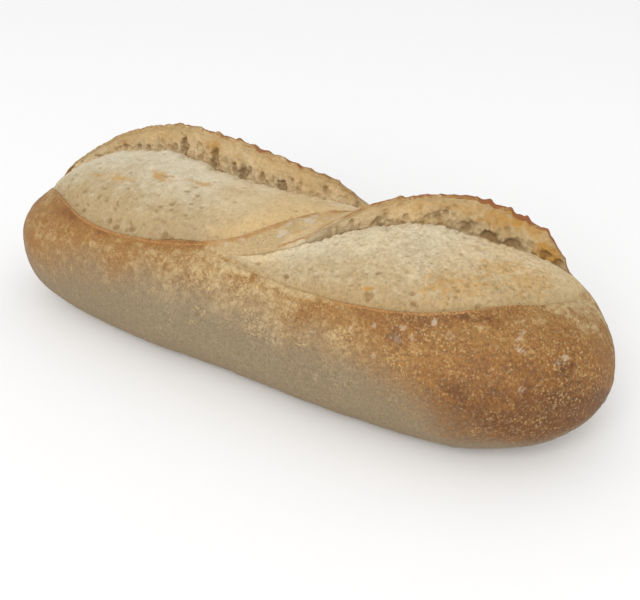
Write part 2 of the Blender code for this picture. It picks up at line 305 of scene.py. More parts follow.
LEFT_SLASH = Slash(
    near_rim=(
        (-143, -2), (-134, -16.5), (-122, -25), (-108, -34.5), (-90, -44.5), (-70, -48.5),
        (-45, -45.8), (-20, -37.5), (-5, -27), (4, -14.5), (11, -3), (19, 6), (32, 17),
    ),
    crest=((-143, 9), (-125, 7), (-100, 10.5), (-60, 12), (0, 13.5), (32, 20)),
    bulge=(
        (-149, 0), (-143, 1), (-137, 2.8), (-122, 4.6), (-106, 7.5), (-90, 8.8), (-68, 10),
        (-56, 7.9), (-43, 5.4), (-28, 3.9), (-10, 2.9), (12, 2.4), (30, 0),
    ),
    depth=((-130, 0), (-112, 4), (-95, 6.8), (-60, 9), (-25, 7.6), (0, 5), (18, 2.3), (30, 0)),
    ear=(
        (-149, 0), (-143, 5.4), (-136, 7.8), (-128, 9.4), (-118, 12.3), (-109, 15.4), (-98, 18.5),
        (-84, 20.8), (-68, 22.4), (-52, 22), (-34, 20), (-17, 17), (0, 13.8), (10, 12), (17, 7.8),
        (25, 2.8), (32, 0),
    ),
    teeth=(
        (-98, 0), (-84, 0.5), (-71, 1.6), (-60, 0.9), (-49, 2), (-37, 2), (-29, 1.9), (-21, 2.3),
        (-12.5, 1.7), (-6, 1.4), (1, 2.8), (7.5, 1.6), (14, 4.4), (21, 2.6), (26, 1.5),
    ),
    gap=7.5,
    opens=(14, 14),
    reach=((-150, 64), (150, 64)),
    parked=(56, 90),
    parks_right=True,
    knots=(),
    fades=(10, 8),
    cut_edge=((-150, 0.6), (-122, 0.6), (-100, 1), (-22, 1), (22, 1), (34, 0)),
    band=(
        (-150, -0.2), (-122, -0.12), (-105, 0.16), (-70, 0.16), (-30, 0.2), (-8, -0.1), (32, 0),
    ),
    band_reach=((-150, 10), (-118, 13), (-100, 9), (-85, 5), (-20, 5), (32, 3)),
)
RIGHT_SLASH = Slash(
    near_rim=(
        (-20, -46), (4, -47.5), (33, -49.3), (60, -47.4), (76, -44), (90, -38), (104, -27.3),
        (114, -16.3), (122, -7), (129, 10), (134, 36),
    ),
    crest=(
        (-20, -43), (4, -38), (22, -24), (40, -10.5), (60, 1), (85, 10.5), (105, 19), (120, 28),
        (134, 45),
    ),
    bulge=(
        (8, 0), (20, 0.3), (29, 1.4), (39, 3.8), (49, 5.9), (60, 6.8), (70, 6.9), (80, 5.6),
        (90, 4.8), (102, 4.7), (113, 4.3), (122, 3.6), (131, 1.8), (140, 0),
    ),
    depth=((-8, 0), (8, 1.7), (28, 4.2), (50, 6.7), (70, 8), (95, 6.7), (112, 3.9), (126, 0)),
    ear=(
        (8, 0), (15, 0.5), (21, 1.7), (27, 4.4), (34, 8.3), (40, 11.4), (48, 14.5), (59, 16.5),
        (71, 18.5), (83, 19), (93, 18.6), (100, 17.1), (106, 15.4), (112, 14), (116, 9.6),
        (120, 4.6), (124, 3), (129, 1), (134, 0),
    ),
    teeth=(
        (46, 0), (54, 1.2), (64, 0.4), (74, 0.4), (83, 1), (88, 1), (96.5, 1.6), (103, 1.7),
        (111, 1.6), (119, 2.6), (123, 0.8),
    ),
    gap=5,
    opens=(48, 14),
    reach=((0, 24), (25, 30), (65, 62), (136, 62)),
    parked=(-86, -60),
    parks_right=False,
    knots=((53, 0.8), (82, 0.5), (87, 0.6), (95, 0.9), (101.5, 1.2), (110, 0.8), (118.5, 1.4)),
    fades=(40, 10),
    cut_edge=((-20, 0), (10, 0.25), (40, 0.35), (55, 0.9), (104, 0.9), (122, 0.2), (134, 0)),
    band=(
        (-34, 0), (-20, 0), (-5, -0.2), (15, -0.22), (38, -0.2), (55, 0.08), (80, 0.34), (98, 0.22),
        (112, 0.14), (134, -0.2),
    ),
    band_reach=((-5, 3), (40, 4), (75, 12), (134, 8)),
)
SLASHES = (LEFT_SLASH, RIGHT_SLASH)


def fullness(x, ends):
    """1 over most of the length, falling to 0 in a rounded end."""
    s = np.clip(2 * x / LENGTH, -1, 1)
    return np.sqrt(1 - np.abs(s) ** np.where(s < 0, *ends))


def section(x, angle):
    """(y, z) of the plain loaf at x and at an angle in degrees from the top to the back."""
    s = 2 * x / LENGTH
    side, rise = fullness(x, SIDE_ENDS), fullness(x, TOP_ENDS)
    half = WIDTH / 2 * side * (1 + FATTER_RIGHT * s) * (1 - WAIST * (1 - s * s) ** 2)
    tip = HEIGHT * np.where(s < 0, *END_HEIGHT) * (1 - rise)
    top = tip + HEIGHT * rise * (1 + FATTER_RIGHT / 2 * s)
    belly = tip + (top - tip) * BELLY
    across, up = np.sin(np.radians(angle)), np.cos(np.radians(angle))
    power = 2 / np.where(up > 0, ROUND_TOP, ROUND_FOOT)
    reach = np.where(up > 0, top - belly, belly - tip + SETTLED * rise)
    y = half * np.sign(across) * np.abs(across) ** power
    z = belly + reach * np.sign(up) * np.abs(up) ** power
    return y, z


def place(x, angle, height):
    """The points at a height over the plain loaf."""
    y, z = section(x, angle)
    y_after, z_after = section(x, angle + NUDGE)
    y_before, z_before = section(x, angle - NUDGE)
    along_y, along_z = y_after - y_before, z_after - z_before
    length = np.hypot(along_y, along_z) + TINY
    out_y = -along_z / length * (1 - UPRIGHT)
    out_z = along_y / length * (1 - UPRIGHT) + UPRIGHT
    scale = height / np.hypot(out_y, out_z)
    return np.stack([np.broadcast_to(x, y.shape), y + out_y * scale, z + out_z * scale], axis=2)


def between(first, last, count, power=1):
    """Columns strictly between two angles. A power under 1 leaves the first step wider."""
    steps = np.arange(1, count + 1) / (count + 1)
    return first + (last - first) * steps**power


def crust_rows():
    """The x of each row of the crust between the tips."""
    u = np.linspace(-1, 1, CRUST_ROWS + 2)[1:-1]
    slope = 2 / (1 + END_ROWS)
    near_end = 1 - slope * (1 - np.abs(u)) ** 2 / (2 * (1 - END_ROWS))
    s = np.where(np.abs(u) < END_ROWS, slope * np.abs(u), near_end)
    return np.sign(u) * s * LENGTH / 2


def finer(points, counts):
    """Each row's points joined by a smooth curve, with counts steps between one and the next."""
    spans = np.linalg.norm(np.diff(points, axis=1), axis=2)[..., None] + TINY
    slopes = np.diff(points, axis=1) / spans
    before, after = spans[:, :-1], spans[:, 1:]
    middle = (after * slopes[:, :-1] + before * slopes[:, 1:]) / (before + after)
    tangents = np.concatenate([slopes[:, :1], middle, slopes[:, -1:]], axis=1)
    columns = []
    for k, count in enumerate(counts):
        for t in np.arange(count) / count:
            rise = points[:, k + 1] - points[:, k]
            bend_in = tangents[:, k] * spans[:, k] - rise
            bend_out = rise - tangents[:, k + 1] * spans[:, k]
            bend = t * (1 - t) * (bend_in * (1 - t) + bend_out * t)
            columns.append(points[:, k] + rise * t + bend)
    columns.append(points[:, -1])
    return np.stack(columns, axis=1)


def stations_of(counts):
    """The station of each column that finer() makes."""
    steps = [k + np.arange(count) / count for k, count in enumerate(counts)]
    return np.concatenate(steps + [[len(counts)]])


def shared(values, counts):
    """Each row's values at the columns that finer() makes."""
    at = stations_of(counts)
    low = np.minimum(at.astype(int), len(counts) - 1)
    part = at - low
    return values[:, low] * (1 - part) + values[:, low + 1] * part


def crust_height(x, angle):
    """How far the crust outside the openings stands over the plain loaf."""
    height = LEFT_SLASH.rim_lift(x, angle) + RIGHT_SLASH.rim_lift(x, angle)
    return height + LEFT_SLASH.lift(x, angle) + RIGHT_SLASH.lift(x, angle)


def on_crust(x, angle):
    return place(x, angle, crust_height(x, angle))


def bridge_hem(x):
    """The hem's degrees between the slashes, at most a fifth of the crust that is left there."""
    free = LEFT_SLASH.spread_columns(x)[0][:, :1] - RIGHT_SLASH.spread_columns(x)[0][:, -1:]
    return np.minimum(HEM, free / 5)


def uneven(grid):
    """Moves each point outwards or inwards a little, as on a hand-shaped loaf."""
    points = grid.reshape(-1, 3)
    sway = [noise.noise(Vector(point)) for point in (points / SWAY_SIZE)]
    dimple = [noise.noise(Vector(point) + DIMPLE_SHIFT) for point in (points / DIMPLE_SIZE)]
    out = points * (0, 1, 1) - (0, 0, HEIGHT / 2)
    length = np.linalg.norm(out, axis=1) + TINY
    push = (np.array(sway) * SWAY + np.array(dimple) * DIMPLE) / length
    points = points + out * push[:, None]
    points[:, 1] -= LEANS_BACK
    return points.reshape(grid.shape)


def crossed(grid):
    """At each point of a grid, a vector square to it, as long as the area it stands for."""
    return np.cross(np.gradient(grid, axis=0), np.gradient(grid, axis=1))


def facing(grid):
    """The outward direction at each point of a grid."""
    normals = crossed(grid)
    return normals / (np.linalg.norm(normals, axis=2, keepdims=True) + TINY)


def lumps(points, size, seed):
    """Smooth random values from -1 to 1, about as far apart as size."""
    at = points / size + seed * 7.31
    cell = np.floor(at)
    part = at - cell
    part = part * part * (3 - 2 * part)
    cell = cell.astype(np.int64)
    value = 0
    for corner in np.ndindex(2, 2, 2):
        mixed = (cell + corner) @ np.array([73856093, 19349663, 83492791]) + seed * 2654435
        mixed = (mixed ^ (mixed >> 13)) * 1274126177
        mixed = (mixed ^ (mixed >> 16)) & 0xFFFF
        weight = np.prod(np.where(corner, part, 1 - part), axis=-1)
        value = value + weight * (mixed / 32767.5 - 1)
    return value


# ---------------------------------------------------------------------------------------------
# The crust


def crust_columns():
    """The crust's grid with its angles, and each slash's station at every column of it."""
    x = crust_rows()
    front_angles, front_heights = RIGHT_SLASH.spread_columns(x)
    back_angles, back_heights = LEFT_SLASH.spread_columns(x)
    hem = bridge_hem(x)
    under = np.full((len(x), 1), -180.0)
    before = front_angles[:, :1] - HEM
    after, before_back = front_angles[:, -1:] + hem, back_angles[:, :1] - hem
    after_back = back_angles[:, -1:] + HEM
    x = x[:, None]

    back_heights += RIGHT_SLASH.lift(x, back_angles)
    front = np.concatenate([under, between(under, before, FRONT_COLUMNS, FOOT_SPACING), before], 1)
    bridge = np.concatenate([after, between(after, before_back, BRIDGE_COLUMNS), before_back], 1)
    back = between(-under, after_back, BACK_COLUMNS, FOOT_SPACING)[:, ::-1]
    back = np.concatenate([after_back, back], 1)
    bands = [
        on_crust(x, front),
        finer(place(x, front_angles, front_heights), SLASH_COLUMNS),
        on_crust(x, bridge),
        finer(place(x, back_angles, back_heights), SLASH_COLUMNS),
        on_crust(x, back),
    ]
    inner = [shared(front_angles, SLASH_COLUMNS), bridge, shared(back_angles, SLASH_COLUMNS)]
    steps = stations_of(SLASH_COLUMNS)
    ahead, passed = -1.0, BEHIND + 1.0
    widths = [band.shape[1] for band in bands]
    right = np.concatenate([np.full(widths[0], ahead), steps, np.full(sum(widths[2:]), passed)])
    left = np.concatenate([np.full(sum(widths[:3]), ahead), steps, np.full(widths[4], passed)])
    angles = np.concatenate([front, *inner, back], axis=1)
    return np.concatenate(bands, axis=1), angles, left, right


def crust_relief(points):
    """Blisters and grain of the baked skin."""
    blisters = np.clip(lumps(points, BLISTER_SIZE, 5), 0, 1) ** 2 * BLISTER * MM
    grain = lumps(points, GRAIN_SIZE, 6) * GRAIN * MM
    return blisters + grain + lumps(points, RIPPLE_SIZE, 7) * RIPPLE * MM


# ---------------------------------------------------------------------------------------------
# The openings


def opening_columns(slash):
    """The opening's fine grid with its angles and stations, and how deep its hem dives."""
    first, last = slash.start + TUCK - TUCK_REACH, slash.end - TUCK + TUCK_REACH
    length = slash.end - slash.start - 2 * TUCK + 2 * TUCK_REACH
    x = np.linspace(first, last, int(length / FINE_ROW))
    angles, heights = slash.columns(x)
    column = x[:, None]
    if slash is LEFT_SLASH:
        heights += RIGHT_SLASH.lift(column, angles)
        hem_before, hem_after = bridge_hem(x), HEM
    else:
        hem_before, hem_after = HEM, bridge_hem(x)
    steps = np.arange(HEM_COLUMNS, 0, -1) * 2 / HEM_COLUMNS
    before = angles[:, :1] - hem_before * steps
    after = angles[:, -1:] + hem_after * steps[::-1]
    bands = [
        on_crust(column, before),
        finer(place(column, angles, heights), FINE_COLUMNS),
        on_crust(column, after),
    ]
    angles = np.concatenate([before, shared(angles, FINE_COLUMNS), after], axis=1)
    stations = np.concatenate([-steps / 2, stations_of(FINE_COLUMNS), BEHIND + steps[::-1] / 2])
    outside = np.maximum(-stations, stations - BEHIND) * 2 - 1
    beyond = np.maximum(first + TUCK_REACH - x, x - last + TUCK_REACH) / TUCK_REACH
    dive = np.maximum(smooth(outside)[None, :], smooth(beyond)[:, None]) * TUCK_DEPTH
    return np.concatenate(bands, axis=1), angles, stations, dive


def scatter(draw, count, weight):
    """Random places on a grid, as likely as their weight."""
    share = np.cumsum(weight.ravel())
    chosen = np.searchsorted(share, draw.random(count) * share[-1])
    return np.unravel_index(np.minimum(chosen, weight.size - 1), weight.shape)


class Dents:
    """Hollows pressed into a grid, with outlines made uneven by the wobble."""

    def __init__(self, grid, wobble):
        self.grid = grid
        self.wobble = wobble
        self.depth = np.zeros(grid.shape[:2])

    def press(self, at, size, stretch, depth):
        """Presses one hollow, longer along the loaf by its stretch."""
        grid = self.grid
        rows, columns = self.depth.shape
        row, column = min(at[0], rows - 2), min(at[1], columns - 2)
        row_step = np.linalg.norm(grid[row + 1, column] - grid[row, column]) + TINY
        column_step = np.linalg.norm(grid[row, column + 1] - grid[row, column]) + TINY
        tall = int(DENT_REACH * size * max(stretch, 1) / row_step) + 2
        wide = int(min(DENT_REACH * size / column_step, DENT_COLUMNS)) + 2
        window = (
            slice(max(row - tall, 0), row + tall + 1),
            slice(max(column - wide, 0), column + wide + 1),
        )
        away = grid[window] - grid[row, column]
        along, across = away[..., 0] / stretch, np.linalg.norm(away[..., 1:], axis=2)
        out = (along**2 + across**2) / size**2 + self.wobble[window] * DENT_WOBBLE
        inside = np.clip(1 - out, 0, 1) * (np.abs(along) < DENT_REACH * size)
        self.depth[window] = np.maximum(self.depth[window], depth * inside**DENT_POWER)

    def press_bubbles(self, draw, sizes, weight, stretches, depths):
        """Presses bubbles at random places, as likely as their weight."""
        for at, size in zip(np.transpose(scatter(draw, len(sizes), weight)), sizes):
            stretch = draw.uniform(*stretches)
            self.press(at, size, stretch, size * draw.uniform(*depths))

    def press_places(self, places, shares):
        """Presses given hollows: mm along, share across, then size, stretch and depth."""
        for along, share, size, stretch, depth in places:
            row = np.abs(self.grid[:, 0, 0] / MM - along).argmin()
            self.press((row, np.abs(shares - share).argmin()), size * MM, stretch, depth * MM)


def lens_share(stations):
    """How far up the crumb each station lies, from 0 at the ledge to 1 at the crest."""
    return np.interp(stations, np.arange(LEDGE, CREST + 1), LENS_SHARES)


def face_share(stations):
    """How far up the ear's torn face each station lies, from 0 at the floor to 1 at the lip."""
    return (stations - FLOOR) / (UNDER_LIP - FLOOR)


def bubble_sizes(draw, count, middle, most):
    drawn = middle * np.exp(draw.normal(0, SIZES_VARY, count))
    return np.clip(drawn, 0.5 * middle, most) * MM


def crumb_lumps(grid, grain):
    """Soft lumps on the crumb, in mm."""
    swell = lumps(grid, 8 * MM, 21) * 0.40 + lumps(grid, 3 * MM, 22) * 0.20
    return swell + lumps(grid, 1.2 * MM, 23) * grain


def face_folds(grid):
    """Folds that hang down the ear's torn face, about 1 on average."""
    hanging = grid * (1, 0.22, 0.22)
    return np.abs(lumps(hanging, 3.8 * MM, 31)) * 2.4 + np.abs(lumps(hanging, 1.5 * MM, 32))


def face_lumps(grid, folds, torn, on_face):
    """The ear's face, in mm: ragged and folded where it is torn, and smoother below its lip."""
    rough = np.abs(lumps(grid, 2.3 * MM, 33)) * 0.8 + lumps(grid, 0.9 * MM, 34) * 0.22
    return (folds - 1.1) * 0.8 * torn + (rough - 0.2) * (0.14 + 0.6 * torn) * on_face


def torn_part(station, along):
    """1 where the ear's face is torn, up to an uneven border."""
    border = 0.40 + 0.14 * lumps(along, 7 * MM, 35) + 0.08 * lumps(along, 2.5 * MM, 36)
    return 1 - smooth((face_share(station) - border) / 0.38)


def crest_fringe(facts, x, station, along, opened):
    """The crest is a torn edge, with a few steps where the crumb broke away."""
    fringe = lumps(along, facts["fringe_size"] * MM, 41) + lumps(along, 0.7 * MM, 42) * 0.5
    fringe = fringe * facts["fringe"] * MM * hill(station, CREST + 0.15, 0.45) * opened
    return fringe + teeth(x, facts["steps"]) * hill(station, CREST + 0.3, 0.9)


def make_opening(slash, facts, crumb):
    """The opening's points and its coat: crumb, baked, toasted, and painted shade in hollows."""
    grid, angles, stations, dive = opening_columns(slash)
    grid = uneven(grid)
    normals = facing(grid)
    x, station = np.broadcast_arrays(grid[..., 0], stations[None, :])
    along = grid * (1, 0, 0)
    opened = slash.openness(x)
    ear_size = slash.ear_share(x, TALL_EAR)
    on_crumb = rising(station, 0.7, 0.6) * falling(station, CREST + 0.2, 0.8)
    on_face = rising(station, *FACE_START) * falling(station, UNDER_LIP - 0.4, 0.8)
    torn = on_face * torn_part(station, along) * ear_size

    folds = face_folds(grid)
    relief = crust_relief(grid) * (1 - on_crumb - on_face)
    relief += crumb_lumps(grid, facts["grain"]) * MM * on_crumb * opened
    relief += face_lumps(grid, folds, torn, on_face) * MM * ear_size

    draw = np.random.default_rng(facts["seed"])
    wobble = lumps(grid, 1.4 * MM, 24) + 0.6 * lumps(grid, 0.6 * MM, 25)
    areas = np.linalg.norm(crossed(grid), axis=2)
    crowd = areas * on_crumb * opened * facts["crowding"](x / MM, lens_share(station))
    pores, tears = Dents(grid, wobble), Dents(grid, wobble)
    swells = Dents(grid, np.zeros(station.shape))
    sizes = bubble_sizes(draw, crumb.bubbles, facts["bubble"], facts["largest"])
    pores.press_bubbles(draw, sizes, crowd, PORE_STRETCH, PORE_DEPTH)
    pores.press_places(facts["hollows"], lens_share(stations))
    sizes = bubble_sizes(draw, crumb.tears, TEAR_SIZE, LARGEST_TEAR)
    tears.press_bubbles(draw, sizes, areas * torn, TEAR_STRETCH, TEAR_DEPTH)
    tears.press_places(facts["cavities"], face_share(stations))
    swells.press_places(facts["swells"], lens_share(stations))
    pores, tears, swells = soften(pores.depth), soften(soften(tears.depth)), soften(swells.depth)

    fringe = crest_fringe(facts, x, station, along, opened)
    grid = grid + normals * (relief - pores - tears + swells - dive)[..., None]
    grid[..., 2] += fringe
    # Painted shade in the grooves between the folds that hang down the torn face.
    groove_shade = (1 - smooth(folds / 0.9)) * torn * 0.5
    # How deep each point lies in a bubble or tear, by which shade is painted there.
    deep = {
        "pores": np.clip(pores / (0.8 * MM), 0, 1),
        "tears": np.clip(tears / (1.7 * MM), 0, 1) * 0.9 + groove_shade,
        "torn": torn,
    }
    return grid, opening_coat(slash, facts, grid, angles, station, deep)


def soften(field):
    """The field with each point averaged with its neighbours, so that no edge is a knife's."""
    padded = np.pad(field, 1, mode="edge")
    sides = padded[:-2, 1:-1] + padded[2:, 1:-1] + padded[1:-1, :-2] + padded[1:-1, 2:]
    return field * 0.5 + sides * 0.125


# ---------------------------------------------------------------------------------------------
# Coats: how brown, floury or pale each point is, from 0 to 1

# Places of flour, of darker baking and of cream flecks on the crust: mm along, degrees round, mm
# long, mm wide, strength.
FLOUR_SPOTS = (
    (89, -44, 1.7, 2.6, 0.9), (97, -48, 2.4, 2.2, 0.6), (121.5, -43, 2.2, 1.8, 1.0),
    (120, -33, 1.1, 6.0, 0.8), (118.5, -24, 1.0, 3.0, 0.6), (134, -43, 1.2, 2.0, 0.8),
    (136, -36, 1.2, 5.0, 0.8), (115, -47, 1.6, 3.5, 0.5), (79, -51, 1.8, 1.4, 0.7),
    (84, -55, 1.8, 2.6, 0.6), (78, -58, 3.6, 3.0, 0.5), (68, -55, 1.6, 1.8, 0.6),
    (59, -59, 1.6, 3.2, 0.6), (44, -68, 1.8, 1.6, 0.6), (71, -71, 1.6, 2.0, 0.6),
    (126, -68, 1.6, 3.6, 0.6), (120, -58, 1.4, 2.0, 0.5), (131, -37, 1.2, 3.0, 0.5),
    (30, -57, 1.6, 3.0, 0.5), (47, -92, 1.6, 2.0, 0.5), (10, -19, 3.0, 3.2, 1.0),
    (9, -11, 1.6, 3.0, 0.8), (16, -5, 3.6, 2.4, 1.0), (15, -1, 2.6, 1.6, 0.9),
    (21, -1, 2.6, 1.4, 0.8), (17, -12, 3.2, 2.6, 0.6), (-5, -30, 2.6, 1.8, 0.7),
    (-10, -35, 2.4, 1.4, 0.6), (8, -35, 4.5, 1.4, 0.5), (3, -42, 3.4, 1.2, 0.5),
    (-113, -64, 1.1, 2.8, 0.9), (-110, -58, 0.9, 1.8, 0.6), (-98, 70, 1.8, 2.8, 0.7),
    (-47, 63, 1.6, 3.4, 0.6), (9, 66, 2.2, 2.2, 0.8), (14, 58, 1.4, 3.0, 0.7),
    (66, 66, 1.6, 4.4, 0.7), (102, 62, 1.8, 2.4, 0.8), (117, 74, 1.4, 3.4, 0.6),
)
DARK_SPOTS = (
    (77, -57, 6, 5, 0.42), (69, -56, 3.4, 3, 0.25), (38, -63, 3.2, 5, 0.26),
    (43, -53, 8, 2.2, 0.15), (60, -49, 5, 3.5, 0.17), (102, -76, 4.4, 3.4, 0.25),
    (101, -85, 10, 6, 0.08), (111, -60, 9, 6, 0.14), (122, -91, 8, 2.8, 0.19),
    (137, -42, 3, 8, 0.35), (138, -76, 4, 6, 0.19), (107, -32, 5.5, 2.6, 0.4),
    (97, -36, 8, 2.2, 0.34), (114, -20, 4, 5, 0.15), (104, -50, 4, 4, 0.12),
    (-105, -43, 6, 4, 0.22), (-97, -45, 5, 3, 0.21), (-75, -51, 5, 2.6, 0.22),
    (-84, -58, 5, 4, 0.14), (-114, -52, 4, 4, 0.12), (-120, -77, 2.6, 6, 0.19),
    (-58, -52, 2.6, 3, 0.19), (-44, -47, 4, 2.4, 0.15), (-24, -39, 10, 3, 0.15),
    (-8, -29, 3.4, 2.2, 0.4), (3, -15, 2.8, 4, 0.4), (10, -47, 2.6, 4.5, 0.42),
    (25, -9, 3, 4.5, 0.25), (27, 4, 4, 3, 0.2), (-33, -60, 3, 2.4, 0.15), (-112, 78, 6, 6, 0.2),
    (-64, 74, 10, 7, 0.16), (-30, 96, 7, 5, 0.14), (22, 82, 9, 6, 0.18), (58, 92, 7, 5, 0.14),
    (96, 72, 9, 7, 0.2), (124, 86, 5, 7, 0.2),
)
CREAM_SPOTS = (
    (-17, -62, 7, 6, 0.9), (15, -76, 8, 7, 1.0), (-14, -80, 5, 3, 0.8), (-17, -88, 4, 2.4, 0.7),
    (25, -80, 4, 4, 0.8), (32, -62, 6, 6, 0.5), (57, -66, 7, 8, 0.5), (36, -76, 8, 4, 0.6),
    (80, -70, 9, 5, 0.7), (54, -88, 10, 4, 0.6), (-38, -56, 7, 4, 0.6), (-62, -62, 8, 4, 0.5),
    (4, -60, 8, 5, 0.6), (-92, 84, 8, 5, 0.6), (-44, 82, 9, 6, 0.8), (-8, 74, 8, 7, 0.8),
    (38, 70, 8, 6, 0.7), (72, 84, 9, 6, 0.7), (108, 94, 7, 5, 0.6),
)

# (mm, value) points: the degree below which the sides turn greyer and darker, partly painted
# shade towards the table, and how far the whole crust is baked along the loaf.
GREY_AND_SHADE_LINE = (
    (-150, -70), (-120, -66), (-90, -54), (50, -52), (75, -56), (90, -65), (105, -78), (120, -90),
    (150, -106),
)
LENGTHWISE_BAKE = (
    (-150, 0.36), (-120, 0.32), (-75, 0.28), (-45, 0.20), (-20, 0.11), (0, 0.09), (20, 0.15),
    (45, 0.26), (60, 0.26), (75, 0.38), (90, 0.46), (105, 0.58), (120, 0.68), (150, 0.82),
)


def spots(x, up, places, wobble):
    """Soft-edged spots, with their outlines made uneven by the wobble. All in millimetres."""
    total = np.zeros(x.shape)
    for along, across, long, wide, strength in places:
        away = np.hypot((x - along) / long, (up - across) / wide)
        total = np.maximum(total, strength * (1 - smooth(away + wobble * 0.5 - 0.3)))
    return total


def round_mm(angle):
    """Millimetres round the top of the section for an angle."""
    return angle / MM_TO_ANGLE / MM


def crust_spots(x, angle, places, wobble):
    """The same for places on the crust, whose second number is in degrees."""
    around = [(along, round_mm(across), *rest) for along, across, *rest in places]
    return spots(x / MM, round_mm(angle), around, wobble)


def greyness_and_shade(x, angle, points):
    """1 on the lower sides, greyer and partly painted shade towards the table, and 0 above them."""
    line = curve(x, GREY_AND_SHADE_LINE) + 6 * lumps(points, 15 * MM, 55)
    return smooth((line + np.abs(angle)) / 45)


def bridge_of(x, angle, points):
    """1 on the paler crust between the two slashes."""
    far = x / MM + 7 * lumps(points, 13 * MM, 58)
    along = rising(far, -26, 10) * smooth((48 - far) / 16)
    back = angle - 12 - 10 * lumps(points, 11 * MM, 59)
    return along * rising(angle, -45, 8) * (1 - smooth(back / 34))


def end_bake(x, angle, points):
    """How much less the top of the right end is browned, in two patches."""
    far = x / MM
    first = 0.22 * hill(far, 119, 11) * rising(angle, -36, 12) * falling(angle, 34, 26)
    last = rising(angle + 14 * lumps(points, 11 * MM, 68), -24, 26) * falling(angle, 40, 30)
    return first + 0.36 * hill(far + 5 * lumps(points, 8 * MM, 69), 134, 9) * last


def rim_bake(slash, x, angle, points):
    """How much more the crust is browned in patches before a slash's rim."""
    before = slash.before_rim(x, angle) / MM
    patchy = 1 + 0.5 * lumps(points, 9 * MM, 51)
    uneven_reach = before / curve(x, slash.band_reach) + 0.35 * lumps(points, 4 * MM, 56)
    shape = np.where(before > -1.5, falling(uneven_reach, 0.35, 0.9), 0)
    return shape * curve(x, slash.band) * patchy


def bake_of(x, angle, points):
    """How browned the crust is."""
    bake = curve(x, LENGTHWISE_BAKE) + 0.05 * rising(angle, -62, 14) * smooth(-angle / 20)
    low, high = smooth((-56 - angle) / 20), rising(angle, -58, 16)
    bake = bake + 0.24 * rising(x / MM, 80, 22) * (low - high)
    bridge = bridge_of(x, angle, points)
    bake = bake * (1 - bridge) - 0.3 * bridge - end_bake(x, angle, points)
    for slash in SLASHES:
        bake = bake + rim_bake(slash, x, angle, points)
    mottled = lumps(points, 15 * MM, 52) * 0.06 + lumps(points, 6 * MM, 53) * 0.08
    return bake + mottled + crust_spots(x, angle, DARK_SPOTS, lumps(points, 4 * MM, 54))


def cream_of(x, angle, bridge, rim, flour):
    """How far the crust between the slashes looks like crumb, where no rim or flour shows."""
    here = rising(x / MM, 6, 12) * falling(angle, 8, 22)
    return 0.85 * bridge * here * (1 - 0.8 * rim) * (1 - flour)


def rim_of(x, angle, points):
    """The thin light lines where the cut crust ends, and along the start of the right ear."""
    far = x / MM
    shine = np.zeros(np.broadcast_shapes(x.shape, angle.shape))
    for slash in SLASHES:
        before = slash.before_rim(x, angle) / MM + 0.5 * lumps(points, 3 * MM, 57)
        long = smooth((x - slash.start) / (16 * MM)) * curve(x, slash.cut_edge)
        cloudy = rising(far, -30, 20) * (slash is LEFT_SLASH)
        patchy = 1 - cloudy * (0.4 - 0.6 * lumps(points, 5 * MM, 66))
        shine = np.maximum(shine, hill(before, 0.2 + cloudy, 1.1 + 2.6 * cloudy) * long * patchy)
    behind = round_mm(RIGHT_SLASH.behind(x, angle)) + 0.8 * lumps(points, 3 * MM, 67)
    here = rising(far, 8, 8) * falling(far, 46, 14)
    return np.maximum(shine, 0.85 * hill(behind, -0.4, 1.4) * here)


def flour_of(x, angle, points):
    """How much flour lies on the crust."""
    flour = crust_spots(x, angle, FLOUR_SPOTS, lumps(points, 1.6 * MM, 61))
    dusted = np.clip(lumps(points, 3.2 * MM, 62) - 0.5, 0, 1)
    here = rising(lumps(points, 24 * MM, 63), -0.2, 0.6)
    return np.clip(flour + dusted * (0.1 + 0.4 * here), 0, 1)


def flecks_of(x, angle, points):
    """How thickly the crust is flecked with pale grains."""
    caramel = rising(x / MM, 50, 40)
    few = 0.3 + 0.25 * hill(x / MM, 5, 50) + 0.5 * caramel
    few = few * (1 - 0.7 * greyness_and_shade(x, angle, points)) * (1 - 0.8 * bridge_of(x, angle, points))
    few = few * (1 - 0.25 * smooth((-62 - angle) / 24)) + 0.25 * lumps(points, 11 * MM, 64)
    return np.clip(few + crust_spots(x, angle, CREAM_SPOTS, lumps(points, 3 * MM, 65)), 0.04, 1)


def crumb_share(slash, x, station):
    """1 on crumb and 0 on crust. Where there is no ear yet, crumb ends at the crack."""
    upper = FLOOR - 0.4 + (UNDER_LIP - 0.1 - FLOOR) * slash.ear_share(x)
    across = rising(station, 0.35, 0.5) * (1 - smooth((station - upper) / 0.5))
    return across * slash.inside(x, slash.fades)


def skin_coat(x, angle, points, bridge):
    """What baked skin looks like. An opening's points have it too, to blend with the crust."""
    rim, flour = rim_of(x, angle, points), flour_of(x, angle, points)
    return {
        "crumb": cream_of(x, angle, bridge, rim, flour),
        "bake": bake_of(x, angle, points),
        "grey_and_shade": greyness_and_shade(x, angle, points),
        "flour": flour,
        "fleck": flecks_of(x, angle, points),
        "rim": rim,
    }


